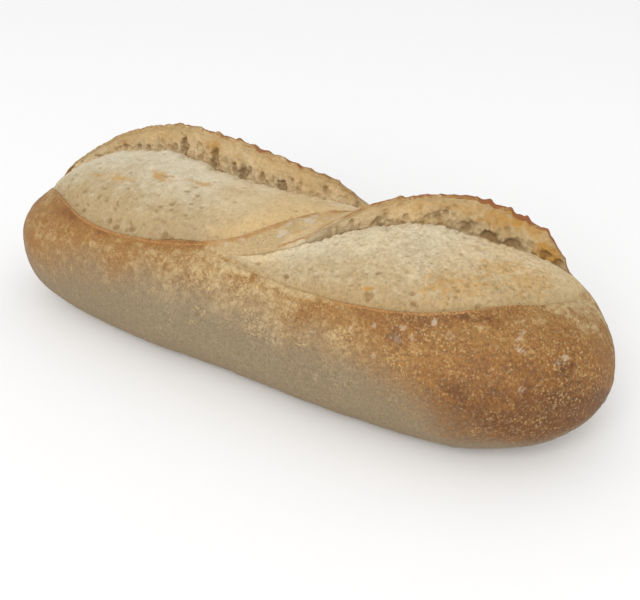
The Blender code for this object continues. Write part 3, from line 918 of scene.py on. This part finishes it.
def opening_coat(slash, facts, points, angle, station, deep):
    """What an opening's points look like, from the near rim to behind the lip."""
    x = points[..., 0]
    far, share, torn, tall = x / MM, lens_share(station), deep["torn"], slash.ear_share(x)
    face = rising(station, *FACE_START) * tall
    across, up = share * CRUMB_ACROSS, (station - FLOOR) * STATION_UP
    toast = spots(far, across, facts["toasted"], lumps(points, 1.5 * MM, 71)) * (1 - face)
    toast = toast * 0.75 + falling(station, 0.9, 1.4) * facts["ledge_toast"]
    browned = spots(far, up, facts["browned"], lumps(points, 1.8 * MM, 75))
    browned = browned + facts["face_toast"](far) * rising(lumps(points, 5 * MM, 72), -0.1, 0.7)
    warm = facts["warmth"](far, share) * (1 - face) + face * facts["face_warmth"](far)
    warm = warm + 0.18 * lumps(points, 8 * MM, 73) + 0.14 * lumps(points, 2.6 * MM, 74)
    face_gold = (0.95 - 0.2 * torn) * facts["face_gold"](far)
    gold = facts["gold"](far, share) * (1 - face) + face * face_gold
    # Painted shade along the narrow crack at the crevice's floor, where there is no ear yet.
    crack_shade = hill(station, FLOOR, 0.7) * (1 - tall) * rising(lumps(points, 4 * MM, 76), -0.7, 0.6)
    crack_shade = crack_shade * smooth(slash.relief(x, "depth") / (0.8 * MM))
    # Painted shade in bubbles, tears and the grooves between folds, and in the crack.
    hollow_shade = np.maximum(deep["pores"] * 0.8, deep["tears"]) + crack_shade
    ragged = station + 0.9 * lumps(points * (1, 0, 0), 3 * MM, 77) + facts["lip_width"](far)
    edge = rising(ragged, UNDER_LIP, 0.8) * falling(station, LIP + 0.3, 0.7) * facts["burnt"](far)
    on_lip = rising(station, UNDER_LIP - 1, 0.6) * tall

    coat = skin_coat(x, angle, points, bridge_of(x, angle, points))
    coat["crumb"] = np.maximum(coat["crumb"], crumb_share(slash, x, station))
    coat["bake"] = coat["bake"] * (1 - on_lip) + facts["lip_bake"](far) * on_lip
    inside = {
        "toast": np.maximum(toast, face * browned),
        "warm": warm,
        "gold": gold + 0.2 * lumps(points, 12 * MM, 78),
        # Painted shade in these hollows, and low in the crevice behind the crest.
        "hollow_shade": hollow_shade + 0.7 * facts["crevice"](far) * hill(station, FLOOR + 1, 1.6),
        "grit": facts["grit"](far, share) * (1 - face) + face * (0.4 + 0.6 * torn),
    }
    coat.update({name: np.clip(values, 0, 1) for name, values in inside.items()})
    coat["edge"] = edge * slash.ear_share(x, 5 * MM)
    return coat


def crust_coat(points, angle, left, right):
    """What the crust's points look like, with the slashes' ends fading into it."""
    x = points[..., 0]
    bridge = bridge_of(x, angle, points)
    coat = skin_coat(x, angle, points, bridge)
    nothing = np.zeros(x.shape)
    lip = nothing
    for slash, station in zip(SLASHES, (left, right)):
        coat["crumb"] = np.maximum(coat["crumb"], crumb_share(slash, x, station[None, :]))
        behind = slash.behind(x, angle) / MM_TO_ANGLE
        near = np.where(behind > -MM, np.exp(-behind / (9 * MM)), 0)
        lip = np.maximum(lip, near * slash.ear_share(x, 10 * MM))
    coat["bake"] = coat["bake"] + 0.24 * lip
    coat["toast"] = 0.1 + 0.45 * bridge * rising(lumps(points, 7 * MM, 68), -0.4, 0.7)
    coat["warm"] = 0.5 - 0.5 * bridge
    coat["gold"] = 0.6 + 0.3 * bridge
    coat["hollow_shade"] = nothing
    coat["grit"] = nothing + 0.4
    coat["edge"] = nothing
    return coat


def left_crumb_warmth(far):
    """The left crumb is tan in its middle, paler at its left end and straw yellow at its right."""
    return (1 - 0.95 * rising(far, -38, 36)) * (0.5 + 0.5 * rising(far, -130, 30))


def left_burnt(far):
    """The left lip is burnt most where it overhangs the crumb, and not at its right end."""
    burnt = 0.7 * rising(far, -125, 20) + 0.3 * hill(far, -22, 24)
    return burnt - 0.7 * rising(far, 4, 16)


# What differs between the two openings. hollows, swells and toasted are on the crumb: mm along,
# share of the way up to the crest (for toasted, mm up to CRUMB_ACROSS), then mm in size and how
# deep or strong. cavities and browned are on the ear's face: mm along, share of the way up to
# the lip (for browned, mm up), then the same. A function's far is mm along the loaf, and its
# share is the share of the way up to the crest.
LEFT_FACTS = {
    "seed": 5,
    "bubble": 0.52,
    "largest": 1.3,
    "grain": 0.11,
    "crowding": lambda far, share: (1.3 - share) ** 2 * (0.3 + smooth((-5 - far) / 45)),
    "grit": lambda far, share: 0.38 - 0.22 * share,
    "hollows": (
        (-82, 0.27, 0.9, 1.6, 0.5), (-70, 0.12, 1.1, 1.7, 0.7), (-62, 0.12, 0.9, 1.6, 0.5),
        (-43, 0.08, 1.7, 1.5, 1.1), (-73, 0.45, 0.8, 2.4, 0.6), (-47, 0.20, 0.9, 3.4, 0.6),
        (-36, 0.28, 0.8, 1.8, 0.5), (-60, 0.66, 1.0, 2.0, 0.8), (-44, 0.66, 1.1, 1.6, 0.9),
        (-98, 0.30, 0.7, 1.5, 0.4), (-107, 0.25, 0.6, 1.5, 0.4), (-30, 0.18, 0.8, 1.4, 0.5),
        (-84, 0.62, 0.7, 1.8, 0.4),
    ),
    "swells": (),
    "steps": ((-100, 0), (-82, 0.5), (-65.5, 2.8), (-49, 3.2), (-34, 2.6), (-26, 1.0), (-12, 0.8)),
    "cavities": (
        (-71, 0.48, 5.4, 0.5, 3.0), (-62.5, 0.60, 2.0, 0.8, 1.5), (-58, 0.58, 1.6, 0.8, 1.2),
        (-53, 0.48, 5.8, 0.42, 3.0), (-47, 0.52, 3.0, 0.4, 1.4), (-42, 0.46, 3.4, 0.55, 2.2),
        (-37, 0.44, 4.6, 0.6, 3.0), (-33, 0.50, 3.4, 0.35, 1.6), (-15, 0.40, 3.0, 1.1, 2.6),
        (-20, 0.50, 2.6, 0.35, 1.3), (-26, 0.46, 3.4, 0.45, 1.8), (-7, 0.44, 2.6, 0.4, 1.2),
        (-79, 0.42, 1.6, 0.8, 1.4), (-86, 0.42, 1.7, 0.8, 1.5), (-93, 0.43, 1.6, 1.0, 1.4),
        (-99, 0.46, 1.5, 1.2, 1.3), (-106, 0.50, 1.6, 1.2, 1.3), (-122, 0.50, 1.3, 2.4, 1.2),
    ),
    "fringe": 0.75,
    "fringe_size": 2.0,
    "toasted": (
        (-97, 25, 8.0, 2.2, 0.7), (-84, 26, 7.0, 2.8, 0.9), (-77, 26, 5.0, 2.2, 0.7),
        (-62, 33, 8.0, 3.0, 0.9), (-43, 37, 6.0, 2.6, 0.8), (-29, 40, 2.2, 5.0, 0.30),
        (-17, 38, 2.4, 4.0, 0.30), (-8, 12, 16.0, 8.0, 0.25),
    ),
    "browned": (
        (-81, 14, 7, 5, 0.4), (-68, 18, 6, 3, 0.3), (-54, 15, 6, 5, 0.4), (-106, 14, 6, 4, 0.45),
        (-38, 14, 5, 3, 0.4),
    ),
    "face_toast": lambda far: 0.34 * rising(far, -128, 22),
    "face_warmth": lambda far: 0.12,
    "face_gold": lambda far: 0.5 + 0.5 * rising(far, -128, 22),
    # No painted shade in the left crevice.
    "crevice": lambda far: 0,
    "ledge_toast": 0.2,
    "burnt": left_burnt,
    "lip_width": lambda far: 0,
    "warmth": lambda far, share: (1.32 - 1.55 * share) * left_crumb_warmth(far),
    "gold": lambda far, share: rising(far, -64, 58) * (1 - 0.4 * share),
    "lip_bake": lambda far: 0.14,
}
RIGHT_FACTS = {
    "seed": 8,
    "bubble": 0.38,
    "largest": 0.95,
    "grain": 0.22,
    "crowding": lambda far, share: 0.6 + 0.8 * hill(share, 0.45, 0.35),
    "grit": lambda far, share: 0.85 - 0.25 * share,
    "hollows": (
        (61, 0.33, 0.8, 1.1, 0.8), (77, 0.18, 1.1, 1.0, 0.9), (61, 0.12, 1.9, 1.3, 1.0),
        (46, 0.27, 0.9, 1.5, 0.4), (44, 0.18, 1.0, 1.4, 0.4), (54, 0.36, 0.7, 1.2, 0.4),
        (70, 0.50, 0.5, 1.0, 0.9), (75, 0.47, 0.5, 1.0, 0.9), (77, 0.40, 0.45, 1.0, 0.8),
        (94, 0.32, 1.5, 1.3, 0.6), (89, 0.82, 1.6, 2.2, 0.5),
    ),
    "swells": ((91, 0.72, 2.6, 1.2, 0.9), (60, 0.88, 3.0, 1.2, 0.4)),
    "steps": ((40, 0), (50, 0.4), (74, 0.5), (90, 0.5), (104, 0.6), (117, 0.5)),
    "cavities": (
        (79, 0.45, 2.6, 1.2, 2.0), (88, 0.42, 2.4, 1.6, 2.4), (98, 0.42, 2.6, 1.8, 2.0),
        (110, 0.45, 1.8, 1.6, 1.4), (56, 0.45, 1.4, 1.0, 1.3), (68, 0.50, 2.2, 1.6, 1.5),
        (47, 0.46, 1.4, 1.4, 1.1), (104, 0.52, 2.0, 1.0, 1.2), (116, 0.45, 1.4, 1.4, 1.2),
    ),
    "fringe": 0.85,
    "fringe_size": 1.3,
    "toasted": (
        (59, 9, 3.0, 1.4, 0.9), (61, 43, 8.0, 2.0, 0.3), (42, 36, 9.0, 2.4, 0.3),
        (89, 43, 4.5, 1.4, 0.45), (101, 30, 10.0, 9.0, 0.75), (90, 16, 16.0, 9.0, 0.72),
        (114, 22, 9.0, 14.0, 0.75),
    ),
    "browned": (
        (72, 16.5, 7, 2.4, 0.5), (79, 15.5, 4, 2.4, 0.5), (91, 16, 9, 4.4, 0.75),
        (103, 19, 9, 4.4, 0.75), (112, 12, 7, 6.0, 0.55), (60, 15, 5, 3.0, 0.25),
    ),
    # Paler face up to about 40 mm along: partly crumb, partly painted light on the steep face.
    "face_toast": lambda far: 0.34 * rising(far, 36, 10) + 0.3 * rising(far, 78, 14),
    "face_warmth": lambda far: 0.12 * rising(far, 36, 10) + 0.45 * rising(far, 56, 22),
    "face_gold": lambda far: 0.7 + 0.3 * rising(far, 32, 16),
    # Painted shade low in the right crevice, from about 16 to 50 mm along.
    "crevice": lambda far: rising(far, 16, 8) * falling(far, 36, 14),
    "ledge_toast": 0.34,
    "burnt": lambda far: 0.3 + 0.5 * rising(far, 38, 14) + 0.25 * rising(far, 60, 30),
    "lip_width": lambda far: 0.35 * rising(far, 62, 26),
    "warmth": lambda far, share: 1.12 - 1.3 * share - 0.12 * rising(far, 74, 20),
    "gold": lambda far, share: 0.3 * smooth((28 - far) / 20) + 0.27 + 0.5 * rising(far, 74, 30),
    "lip_bake": lambda far: 0.16 + 0.26 * rising(far, 66, 14),
}


# ---------------------------------------------------------------------------------------------
# Sizes and colours that a user would change


def colour_property(name, description, default):
    return FloatVectorProperty(
        name=name,
        description=description,
        default=default,
        subtype="COLOR",
        size=3,
        min=0,
        max=1,
    )


def from_screen(red, green, blue):
    """A linear colour from its screen values, 0 to 255."""
    shares = [value / 255 for value in (red, green, blue)]
    return tuple(s / 12.92 if s <= 0.04045 else ((s + 0.055) / 1.055) ** 2.4 for s in shares)


class CrustLook(PropertyGroup):
    pale: colour_property("Pale crust", "Hardly baked", from_screen(185, 159, 115))
    golden: colour_property("Golden crust", "Its usual colour", from_screen(150, 110, 60))
    caramel: colour_property("Caramel", "Well baked crust", from_screen(137, 92, 42))
    brown: colour_property("Brown", "The darkest patches", from_screen(104, 64, 28))
    # Partly grey crust, partly painted shade on the lower sides near the table.
    grey_and_shade: colour_property("Lower sides", "Near the table", from_screen(134, 118, 93))
    rim: colour_property("Cut edge", "The crust's thin light edge", from_screen(170, 122, 70))
    speckle: colour_property("Speckles", "Fine pale grains", from_screen(200, 169, 118))
    flour: colour_property("Flour", "Spots of flour", from_screen(206, 190, 166))
    edge: colour_property("Burnt edge", "The ears' thin lips", from_screen(136, 80, 44))


class CrumbLook(PropertyGroup):
    cream: colour_property("Cream", "Crumb near the crest", from_screen(209, 198, 172))
    straw: colour_property("Straw", "Its yellower parts", from_screen(204, 176, 128))
    tan: colour_property("Tan", "Crumb towards the rim", from_screen(172, 149, 110))
    toasted: colour_property("Toasted", "Toasted blotches", from_screen(182, 138, 72))
    # Painted shade: the colour of the shade inside bubbles, tears, the crack and the crevice.
    hollow_shade: colour_property("Hollows", "The inside of bubbles", from_screen(130, 100, 60))
    bubbles: IntProperty(
        name="Bubbles",
        description="Small bubbles in each slash's crumb",
        default=420,
        min=0,
        max=3000,
    )
    tears: IntProperty(
        name="Torn bubbles",
        description="Bubbles in each ear's torn face",
        default=280,
        min=0,
        max=3000,
    )


class TableLook(PropertyGroup):
    floor: colour_property("Table", "The pale table", (0.97, 0.97, 0.97))
    room: FloatProperty(
        name="Room light",
        description="Strength of the even light all round",
        default=0.78,
        min=0,
        max=5,
    )
    lamp: FloatProperty(
        name="Soft box",
        description="Power of the large soft light overhead",
        default=48,
        min=0,
        max=500,
        unit="POWER",
    )


# ---------------------------------------------------------------------------------------------
# Bread material


class Recipe:
    """Adds and joins the nodes of one material."""

    def __init__(self, material):
        material.use_nodes = True
        self.nodes = material.node_tree.nodes
        self.links = material.node_tree.links
        self.shader = self.nodes["Principled BSDF"]

    def set(self, socket, value):
        if isinstance(value, bpy.types.NodeSocket):
            self.links.new(value, socket)
        elif hasattr(value, "__len__") and len(value) == 3 and socket.type == "RGBA":
            socket.default_value = (*value, 1)
        else:
            socket.default_value = value

    def coat(self, name):
        node = self.nodes.new("ShaderNodeAttribute")
        node.attribute_name = name
        return node.outputs["Fac"]

    def math(self, operation, *values, clamp=False):
        node = self.nodes.new("ShaderNodeMath")
        node.operation = operation
        node.use_clamp = clamp
        for socket, value in zip(node.inputs, values):
            self.set(socket, value)
        return node.outputs[0]

    def plus(self, first, second, clamp=False):
        return self.math("ADD", first, second, clamp=clamp)

    def less(self, first, second):
        return self.math("SUBTRACT", first, second)

    def times(self, first, second):
        return self.math("MULTIPLY", first, second)

    def scaled(self, value, by, added):
        return self.math("MULTIPLY_ADD", value, by, added)

    def greater(self, first, second):
        return self.math("MAXIMUM", first, second)

    def mix(self, share, first, second, blend="MIX"):
        node = self.nodes.new("ShaderNodeMix")
        node.data_type = "RGBA"
        node.blend_type = blend
        self.set(node.inputs["Factor"], share)
        self.set(node.inputs[6], first)
        self.set(node.inputs[7], second)
        return node.outputs[2]

    def remap(self, value, low, high, to_low=0.0, to_high=1.0):
        node = self.nodes.new("ShaderNodeMapRange")
        node.interpolation_type = "SMOOTHSTEP"
        for socket, number in zip(node.inputs, (value, low, high, to_low, to_high)):
            self.set(socket, number)
        return node.outputs[0]

    def place(self):
        return self.nodes.new("ShaderNodeTexCoord").outputs["Object"]

    def noise(self, scale, detail=2.0, roughness=0.5):
        node = self.nodes.new("ShaderNodeTexNoise")
        self.set(node.inputs["Vector"], self.place())
        node.inputs["Scale"].default_value = scale
        node.inputs["Detail"].default_value = detail
        node.inputs["Roughness"].default_value = roughness
        return node.outputs

    def cloud(self, size, *detail):
        """Noise from 0 to 1, about as far apart as size."""
        return self.noise(1 / size, *detail)["Fac"]

    def drift(self, size, detail, roughness, width):
        """The same, but round 0 and of this width."""
        return self.scaled(self.cloud(size, detail, roughness), width, -width / 2)

    def grains(self, size, largest):
        """1 in small uneven grains and 0 between them, about as far apart as size."""
        moved = self.nodes.new("ShaderNodeVectorMath")
        moved.operation = "MULTIPLY_ADD"
        self.set(moved.inputs[0], self.noise(1.3 / size)["Color"])
        moved.inputs[1].default_value = (size * 0.9,) * 3
        self.set(moved.inputs[2], self.place())
        node = self.nodes.new("ShaderNodeTexVoronoi")
        self.set(node.inputs["Vector"], moved.outputs[0])
        node.inputs["Scale"].default_value = 1 / size
        apart = self.nodes.new("ShaderNodeSeparateColor")
        self.links.new(node.outputs["Color"], apart.inputs[0])
        edge = self.times(apart.outputs[0], largest)
        return self.remap(self.less(node.outputs["Distance"], edge), 0.06, -0.08)

    def ramp(self, value, stops):
        node = self.nodes.new("ShaderNodeValToRGB")
        elements = node.color_ramp.elements
        while len(elements) < len(stops):
            elements.new(0.5)
        for element, (at, colour) in zip(elements, stops):
            element.position = at
            element.color = (*colour, 1)
        self.set(node.inputs[0], value)
        return node.outputs[0]

    def grainy(self, colour, cloud, contrast, darkest, lightest):
        """The colour made darker and lighter by a cloud, as far as the contrast lets it."""
        fine = self.scaled(self.less(cloud, 0.5), contrast, 0.5)
        return self.mix(1.0, colour, self.remap(fine, 0.2, 0.8, darkest, lightest), "MULTIPLY")

    def bump(self, height, strength, distance):
        node = self.nodes.new("ShaderNodeBump")
        node.inputs["Strength"].default_value = strength
        node.inputs["Distance"].default_value = distance
        self.set(node.inputs["Height"], height)
        return node.outputs[0]


def crust_colour(recipe, look):
    """Browned by the bake, flecked with pale grains and dusted with flour."""
    drift = recipe.drift(3.6 * MM, 5, 0.65, 1.0)
    bake = recipe.plus(recipe.coat("bake"), drift, clamp=True)
    stops = ((0.0, look.pale), (0.30, look.golden), (0.62, look.caramel), (1.0, look.brown))
    colour = recipe.ramp(bake, stops)
    # The lower sides turn greyer: partly painted shade towards the table.
    grey_and_shade = recipe.remap(recipe.plus(recipe.coat("grey_and_shade"), drift), -0.1, 1.1, 0, 0.95)
    colour = recipe.mix(grey_and_shade, colour, look.grey_and_shade)
    rim = recipe.remap(recipe.plus(recipe.coat("rim"), drift), 0.2, 0.9, 0, 0.8)
    colour = recipe.mix(rim, colour, look.rim)

    speck = recipe.cloud(1.7 * MM, 4, 0.8)
    many = recipe.plus(recipe.coat("fleck"), recipe.drift(6 * MM, 3, 0.6, 1.4), clamp=True)
    grain = recipe.remap(recipe.scaled(many, 0.1, speck), 0.59, 0.74)
    dots = recipe.times(recipe.grains(1.15 * MM, 0.5), recipe.remap(many, 0.15, 1.1))
    grain = recipe.greater(recipe.times(grain, 0.7), dots)
    colour = recipe.mix(recipe.times(grain, 0.5), colour, look.speckle)
    pits = recipe.times(recipe.remap(speck, 0.42, 0.30), 0.22)
    colour = recipe.mix(pits, colour, look.brown)
    contrast = recipe.scaled(many, 0.9, 0.5)
    colour = recipe.grainy(colour, recipe.cloud(1.2 * MM, 4, 0.8), contrast, 0.58, 1.42)

    floury = recipe.times(recipe.cloud(1.8 * MM, 4, 0.75), 2.0)
    flour = recipe.less(recipe.times(recipe.coat("flour"), 1.4), floury)
    flour = recipe.remap(flour, -0.7, 0.5)
    colour = recipe.mix(recipe.times(flour, 0.65), colour, look.flour)
    burnt = recipe.plus(recipe.coat("edge"), recipe.drift(2.2 * MM, 4, 0.65, 1.6))
    burnt = recipe.remap(burnt, 0.2, 1.0)
    colour = recipe.mix(recipe.times(burnt, 0.85), colour, look.edge)
    return colour, grain, flour, burnt


def crumb_colour(recipe, look):
    """Cream, straw and tan, toasted in blotches, with painted shade in its bubbles and pores."""
    grit = recipe.coat("grit")
    colour = recipe.mix(recipe.coat("gold"), look.cream, look.straw)
    warm = recipe.plus(recipe.coat("warm"), recipe.drift(3.4 * MM, 5, 0.7, 1.2), clamp=True)
    colour = recipe.mix(warm, colour, look.tan)
    patchy = recipe.plus(recipe.drift(2 * MM, 4, 0.7, 1.8), 0.9)
    toast = recipe.times(recipe.coat("toast"), patchy)
    blush = recipe.remap(recipe.cloud(6 * MM, 5, 0.7), 0.5, 0.72, 0, 0.5)
    toast = recipe.greater(toast, recipe.times(blush, grit))
    colour = recipe.mix(recipe.remap(toast, 0.0, 1.0), colour, look.toasted)
    # Painted shade in the crumb's fine pores.
    pits = recipe.remap(recipe.cloud(1.4 * MM, 3, 0.7), 0.40, 0.28)
    pits = recipe.times(pits, recipe.times(grit, 0.6))
    # Painted shade in bubbles, tears, the crack and the crevice, in the hollows' colour.
    hollow_shade = recipe.greater(recipe.remap(recipe.coat("hollow_shade"), 0.05, 1.0, 0, 0.62), pits)
    colour = recipe.mix(hollow_shade, colour, look.hollow_shade)
    contrast = recipe.scaled(grit, 0.6, 0.35)
    return recipe.grainy(colour, recipe.cloud(1.4 * MM, 4, 0.75), contrast, 0.72, 1.26)


def bread_material(crust, crumb):
    """One material for the whole loaf, which turns from crust to crumb by the crumb coat."""
    material = bpy.data.materials.new("bread")
    recipe = Recipe(material)
    skin, grain, flour, burnt = crust_colour(recipe, crust)
    share = recipe.plus(recipe.coat("crumb"), recipe.drift(1.1 * MM, 3, 0.5, 0.5))
    share = recipe.times(recipe.remap(share, 0.3, 0.7), recipe.less(1.0, burnt))
    colour = recipe.mix(share, skin, crumb_colour(recipe, crumb))
    recipe.set(recipe.shader.inputs["Base Color"], colour)
    shine = recipe.remap(recipe.coat("bake"), 0.2, 0.9, 0.12, -0.06)
    dry = recipe.plus(recipe.scaled(flour, 0.2, 0.62), shine, clamp=True)
    rough = recipe.scaled(share, recipe.less(0.92, dry), dry)
    recipe.set(recipe.shader.inputs["Roughness"], rough)
    recipe.shader.inputs["Specular IOR Level"].default_value = 0.3
    height = recipe.scaled(grain, 0.5, recipe.cloud(0.9 * MM, 5, 0.65))
    recipe.set(recipe.shader.inputs["Normal"], recipe.bump(height, 0.6, 0.22 * MM))
    return material


def bread():
    known = bpy.data.materials.get("bread")
    scene = bpy.context.scene
    return known or bread_material(scene.loaf_crust, scene.loaf_crumb)


# ---------------------------------------------------------------------------------------------
# Pieces


def piece_from(name, points, faces, coat):
    """A piece of the loaf from its points, faces and coat, with unused points left out."""
    used = np.zeros(len(points), bool)
    for face in faces:
        used[face.ravel()] = True
    number = np.cumsum(used) - 1
    points = points[used].copy()
    points[:, 2] = np.maximum(points[:, 2], 0)
    mesh = bpy.data.meshes.new(name)
    lists = [quad for face in faces for quad in number[face].tolist()]
    mesh.from_pydata(points.tolist(), [], lists)
    for key, values in coat.items():
        attribute = mesh.attributes.new(key, "FLOAT", "POINT")
        attribute.data.foreach_set("value", values.ravel()[used].astype(np.float32))
    mesh.validate()
    mesh.shade_smooth()
    mesh.materials.append(bread())
    piece = bpy.data.objects.new(name, mesh)
    bpy.context.scene.collection.objects.link(piece)
    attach(piece, "root")
    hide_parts("loaf")
    return piece


def quads(rows, columns, keep):
    index = np.arange(rows * columns).reshape(rows, columns)
    corners = [index[:-1, :-1], index[1:, :-1], index[1:, 1:], index[:-1, 1:]]
    return np.stack(corners, axis=2)[keep]


def closed_quads(x, left, right):
    """Which quads of the crust stay: those where no opening shows."""
    keep = np.ones((len(x) - 1, len(left) - 1), bool)
    for slash, station in zip(SLASHES, (left, right)):
        within = (x > slash.start + TUCK) & (x < slash.end - TUCK)
        open_rows = within[:-1] & within[1:]
        inner = (station >= 0) & (station <= BEHIND)
        open_columns = inner[:-1] | inner[1:]
        keep &= ~(open_rows[:, None] & open_columns[None, :])
    return keep


def make_crust():
    grid, angles, left, right = crust_columns()
    grid = uneven(grid)
    relief = crust_relief(grid) * rising(grid[..., 2], FOOT_PLAIN, FOOT_REACH)
    coat = crust_coat(grid, angles, left, right)
    grid = grid + facing(grid) * relief[..., None]
    rows, columns = grid.shape[:2]

    tips = [(side * LENGTH / 2, 0, HEIGHT * END_HEIGHT[side > 0]) for side in (-1, 1)]
    tips = uneven(np.array(tips)[None])[0]
    points = np.concatenate([grid.reshape(-1, 3), tips])
    column = np.arange(columns)
    after = (column + 1) % columns
    last = (rows - 1) * columns
    left_tip, right_tip = np.full(columns, rows * columns), np.full(columns, rows * columns + 1)
    row = np.arange(rows - 1)[:, None] * columns
    seam = np.concatenate([row + columns - 1, row + 2 * columns - 1, row + columns, row], axis=1)
    faces = [
        quads(rows, columns, closed_quads(grid[:, 0, 0], left, right)),
        seam,
        np.stack([left_tip, column, after], axis=1),
        np.stack([right_tip, last + after, last + column], axis=1),
    ]
    coat = {
        key: np.concatenate([values.ravel(), values[[0, -1], 0]]) for key, values in coat.items()
    }
    return piece_from("crust", points, faces, coat)


def make_opening_piece(name, slash, facts):
    grid, coat = make_opening(slash, facts, bpy.context.scene.loaf_crumb)
    rows, columns = grid.shape[:2]
    faces = [quads(rows, columns, np.ones((rows - 1, columns - 1), bool))]
    return piece_from(name, grid.reshape(-1, 3), faces, coat)


# ---------------------------------------------------------------------------------------------
# Table, light and camera

TURN, TILT = math.radians(31.41), math.radians(31.0)  # where the camera looks from
CAMERA_AWAY = 438.4 * MM
CAMERA_AIM = Vector((0, -0.1 * MM, 35 * MM))
CAMERA_SIDE, CAMERA_RISE = 14.7 * MM, -11.9 * MM
LENS_MM = 54
TABLE_REACH = 12.0  # from its middle to each edge
TABLE_DROP = 0.2 * MM  # it lies this far below the loaf, so that the two don't touch
SOFTBOX_SIZE, SOFTBOX_PLACE = 2.4, (0.55, -2.4, 1.75)


def add_camera():
    back = Vector(
        (math.sin(TURN) * math.cos(TILT), -math.cos(TURN) * math.cos(TILT), math.sin(TILT))
    )
    right = Vector((math.cos(TURN), math.sin(TURN), 0))
    up = back.cross(right)
    data = bpy.data.cameras.new("camera")
    data.lens = LENS_MM
    data.clip_start = 0.01
    camera = bpy.data.objects.new("camera", data)
    bpy.context.scene.collection.objects.link(camera)
    turn = Matrix((right, up, back)).transposed().to_4x4()
    stand = CAMERA_AIM + back * CAMERA_AWAY + right * CAMERA_SIDE + up * CAMERA_RISE
    camera.matrix_world = Matrix.Translation(stand) @ turn
    bpy.context.scene.camera = camera


def add_lamp(name, power, size, location, target):
    data = bpy.data.lights.new(name, "AREA")
    data.shape = "DISK"
    data.size = size
    data.energy = power
    lamp = bpy.data.objects.new(name, data)
    bpy.context.scene.collection.objects.link(lamp)
    lamp.location = location
    lamp.rotation_euler = (Vector(target) - Vector(location)).to_track_quat("-Z", "Y").to_euler()


def add_floor(look):
    mesh = bpy.data.meshes.new("table")
    signs = ((-1, -1), (1, -1), (1, 1), (-1, 1))
    corners = [(x * TABLE_REACH, y * TABLE_REACH, 0) for x, y in signs]
    mesh.from_pydata(corners, [], [(0, 1, 2, 3)])
    material = bpy.data.materials.new("table")
    recipe = Recipe(material)
    recipe.shader.inputs["Roughness"].default_value = 0.9
    recipe.shader.inputs["Specular IOR Level"].default_value = 0.1
    speck = recipe.remap(recipe.cloud(0.02, 3), 0.3, 0.7, 0.995, 1.0)
    recipe.set(recipe.shader.inputs["Base Color"], recipe.mix(1.0, look.floor, speck, "MULTIPLY"))
    mesh.materials.append(material)
    table = bpy.data.objects.new("table", mesh)
    table.location.z = -TABLE_DROP
    bpy.context.scene.collection.objects.link(table)


def add_room_light(look):
    world = bpy.data.worlds.new("room")
    world.use_nodes = True
    background = world.node_tree.nodes["Background"]
    background.inputs["Color"].default_value = (1, 1, 1, 1)
    background.inputs["Strength"].default_value = look.room
    bpy.context.scene.world = world


# ---------------------------------------------------------------------------------------------
# Add-on


class LOAF_OT_crust(Operator):
    """Shape and bake the crust all round the loaf"""

    bl_idname = "loaf.crust"
    bl_label = "Bake crust"

    def execute(self, context):
        make_crust()
        return {"FINISHED"}


class LOAF_OT_openings(Operator):
    """Open both slashes: pale crumb, crevice and torn ear"""

    bl_idname = "loaf.openings"
    bl_label = "Open slashes"

    def execute(self, context):
        make_opening_piece("opening_left", LEFT_SLASH, LEFT_FACTS)
        make_opening_piece("opening_right", RIGHT_SLASH, RIGHT_FACTS)
        return {"FINISHED"}


class LOAF_OT_stage(Operator):
    """Set the loaf on a pale table under soft light, with the camera in front"""

    bl_idname = "loaf.stage"
    bl_label = "Set table"

    def execute(self, context):
        look = context.scene.loaf_table
        add_floor(look)
        add_room_light(look)
        add_lamp("softbox", look.lamp, SOFTBOX_SIZE, SOFTBOX_PLACE, (0, 0, 0))
        add_camera()
        context.scene.view_settings.view_transform = "Standard"
        return {"FINISHED"}


class LOAF_PT_panel(Panel):
    """Buttons and looks of the batard loaf"""

    bl_idname = "LOAF_PT_panel"
    bl_label = "Batard loaf"
    bl_space_type = "VIEW_3D"
    bl_region_type = "UI"
    bl_category = "Batard loaf"

    def draw(self, context):
        for operator in (LOAF_OT_crust, LOAF_OT_openings, LOAF_OT_stage):
            self.layout.operator(operator.bl_idname)
        for look in (context.scene.loaf_crust, context.scene.loaf_crumb, context.scene.loaf_table):
            box = self.layout.box()
            for name in look.__annotations__:
                box.prop(look, name)


LOOKS = {"loaf_crust": CrustLook, "loaf_crumb": CrumbLook, "loaf_table": TableLook}
CLASSES = (
    CrustLook,
    CrumbLook,
    TableLook,
    LOAF_OT_crust,
    LOAF_OT_openings,
    LOAF_OT_stage,
    LOAF_PT_panel,
)


def register():
    for made in CLASSES:
        bpy.utils.register_class(made)
    for name, look in LOOKS.items():
        setattr(bpy.types.Scene, name, PointerProperty(type=look))


def unregister():
    for name in LOOKS:
        delattr(bpy.types.Scene, name)
    for made in reversed(CLASSES):
        bpy.utils.unregister_class(made)


def main():
    register()
    bpy.ops.loaf.crust()
    bpy.ops.loaf.openings()
    bpy.ops.loaf.stage()


if __name__ == "__main__":
    main()
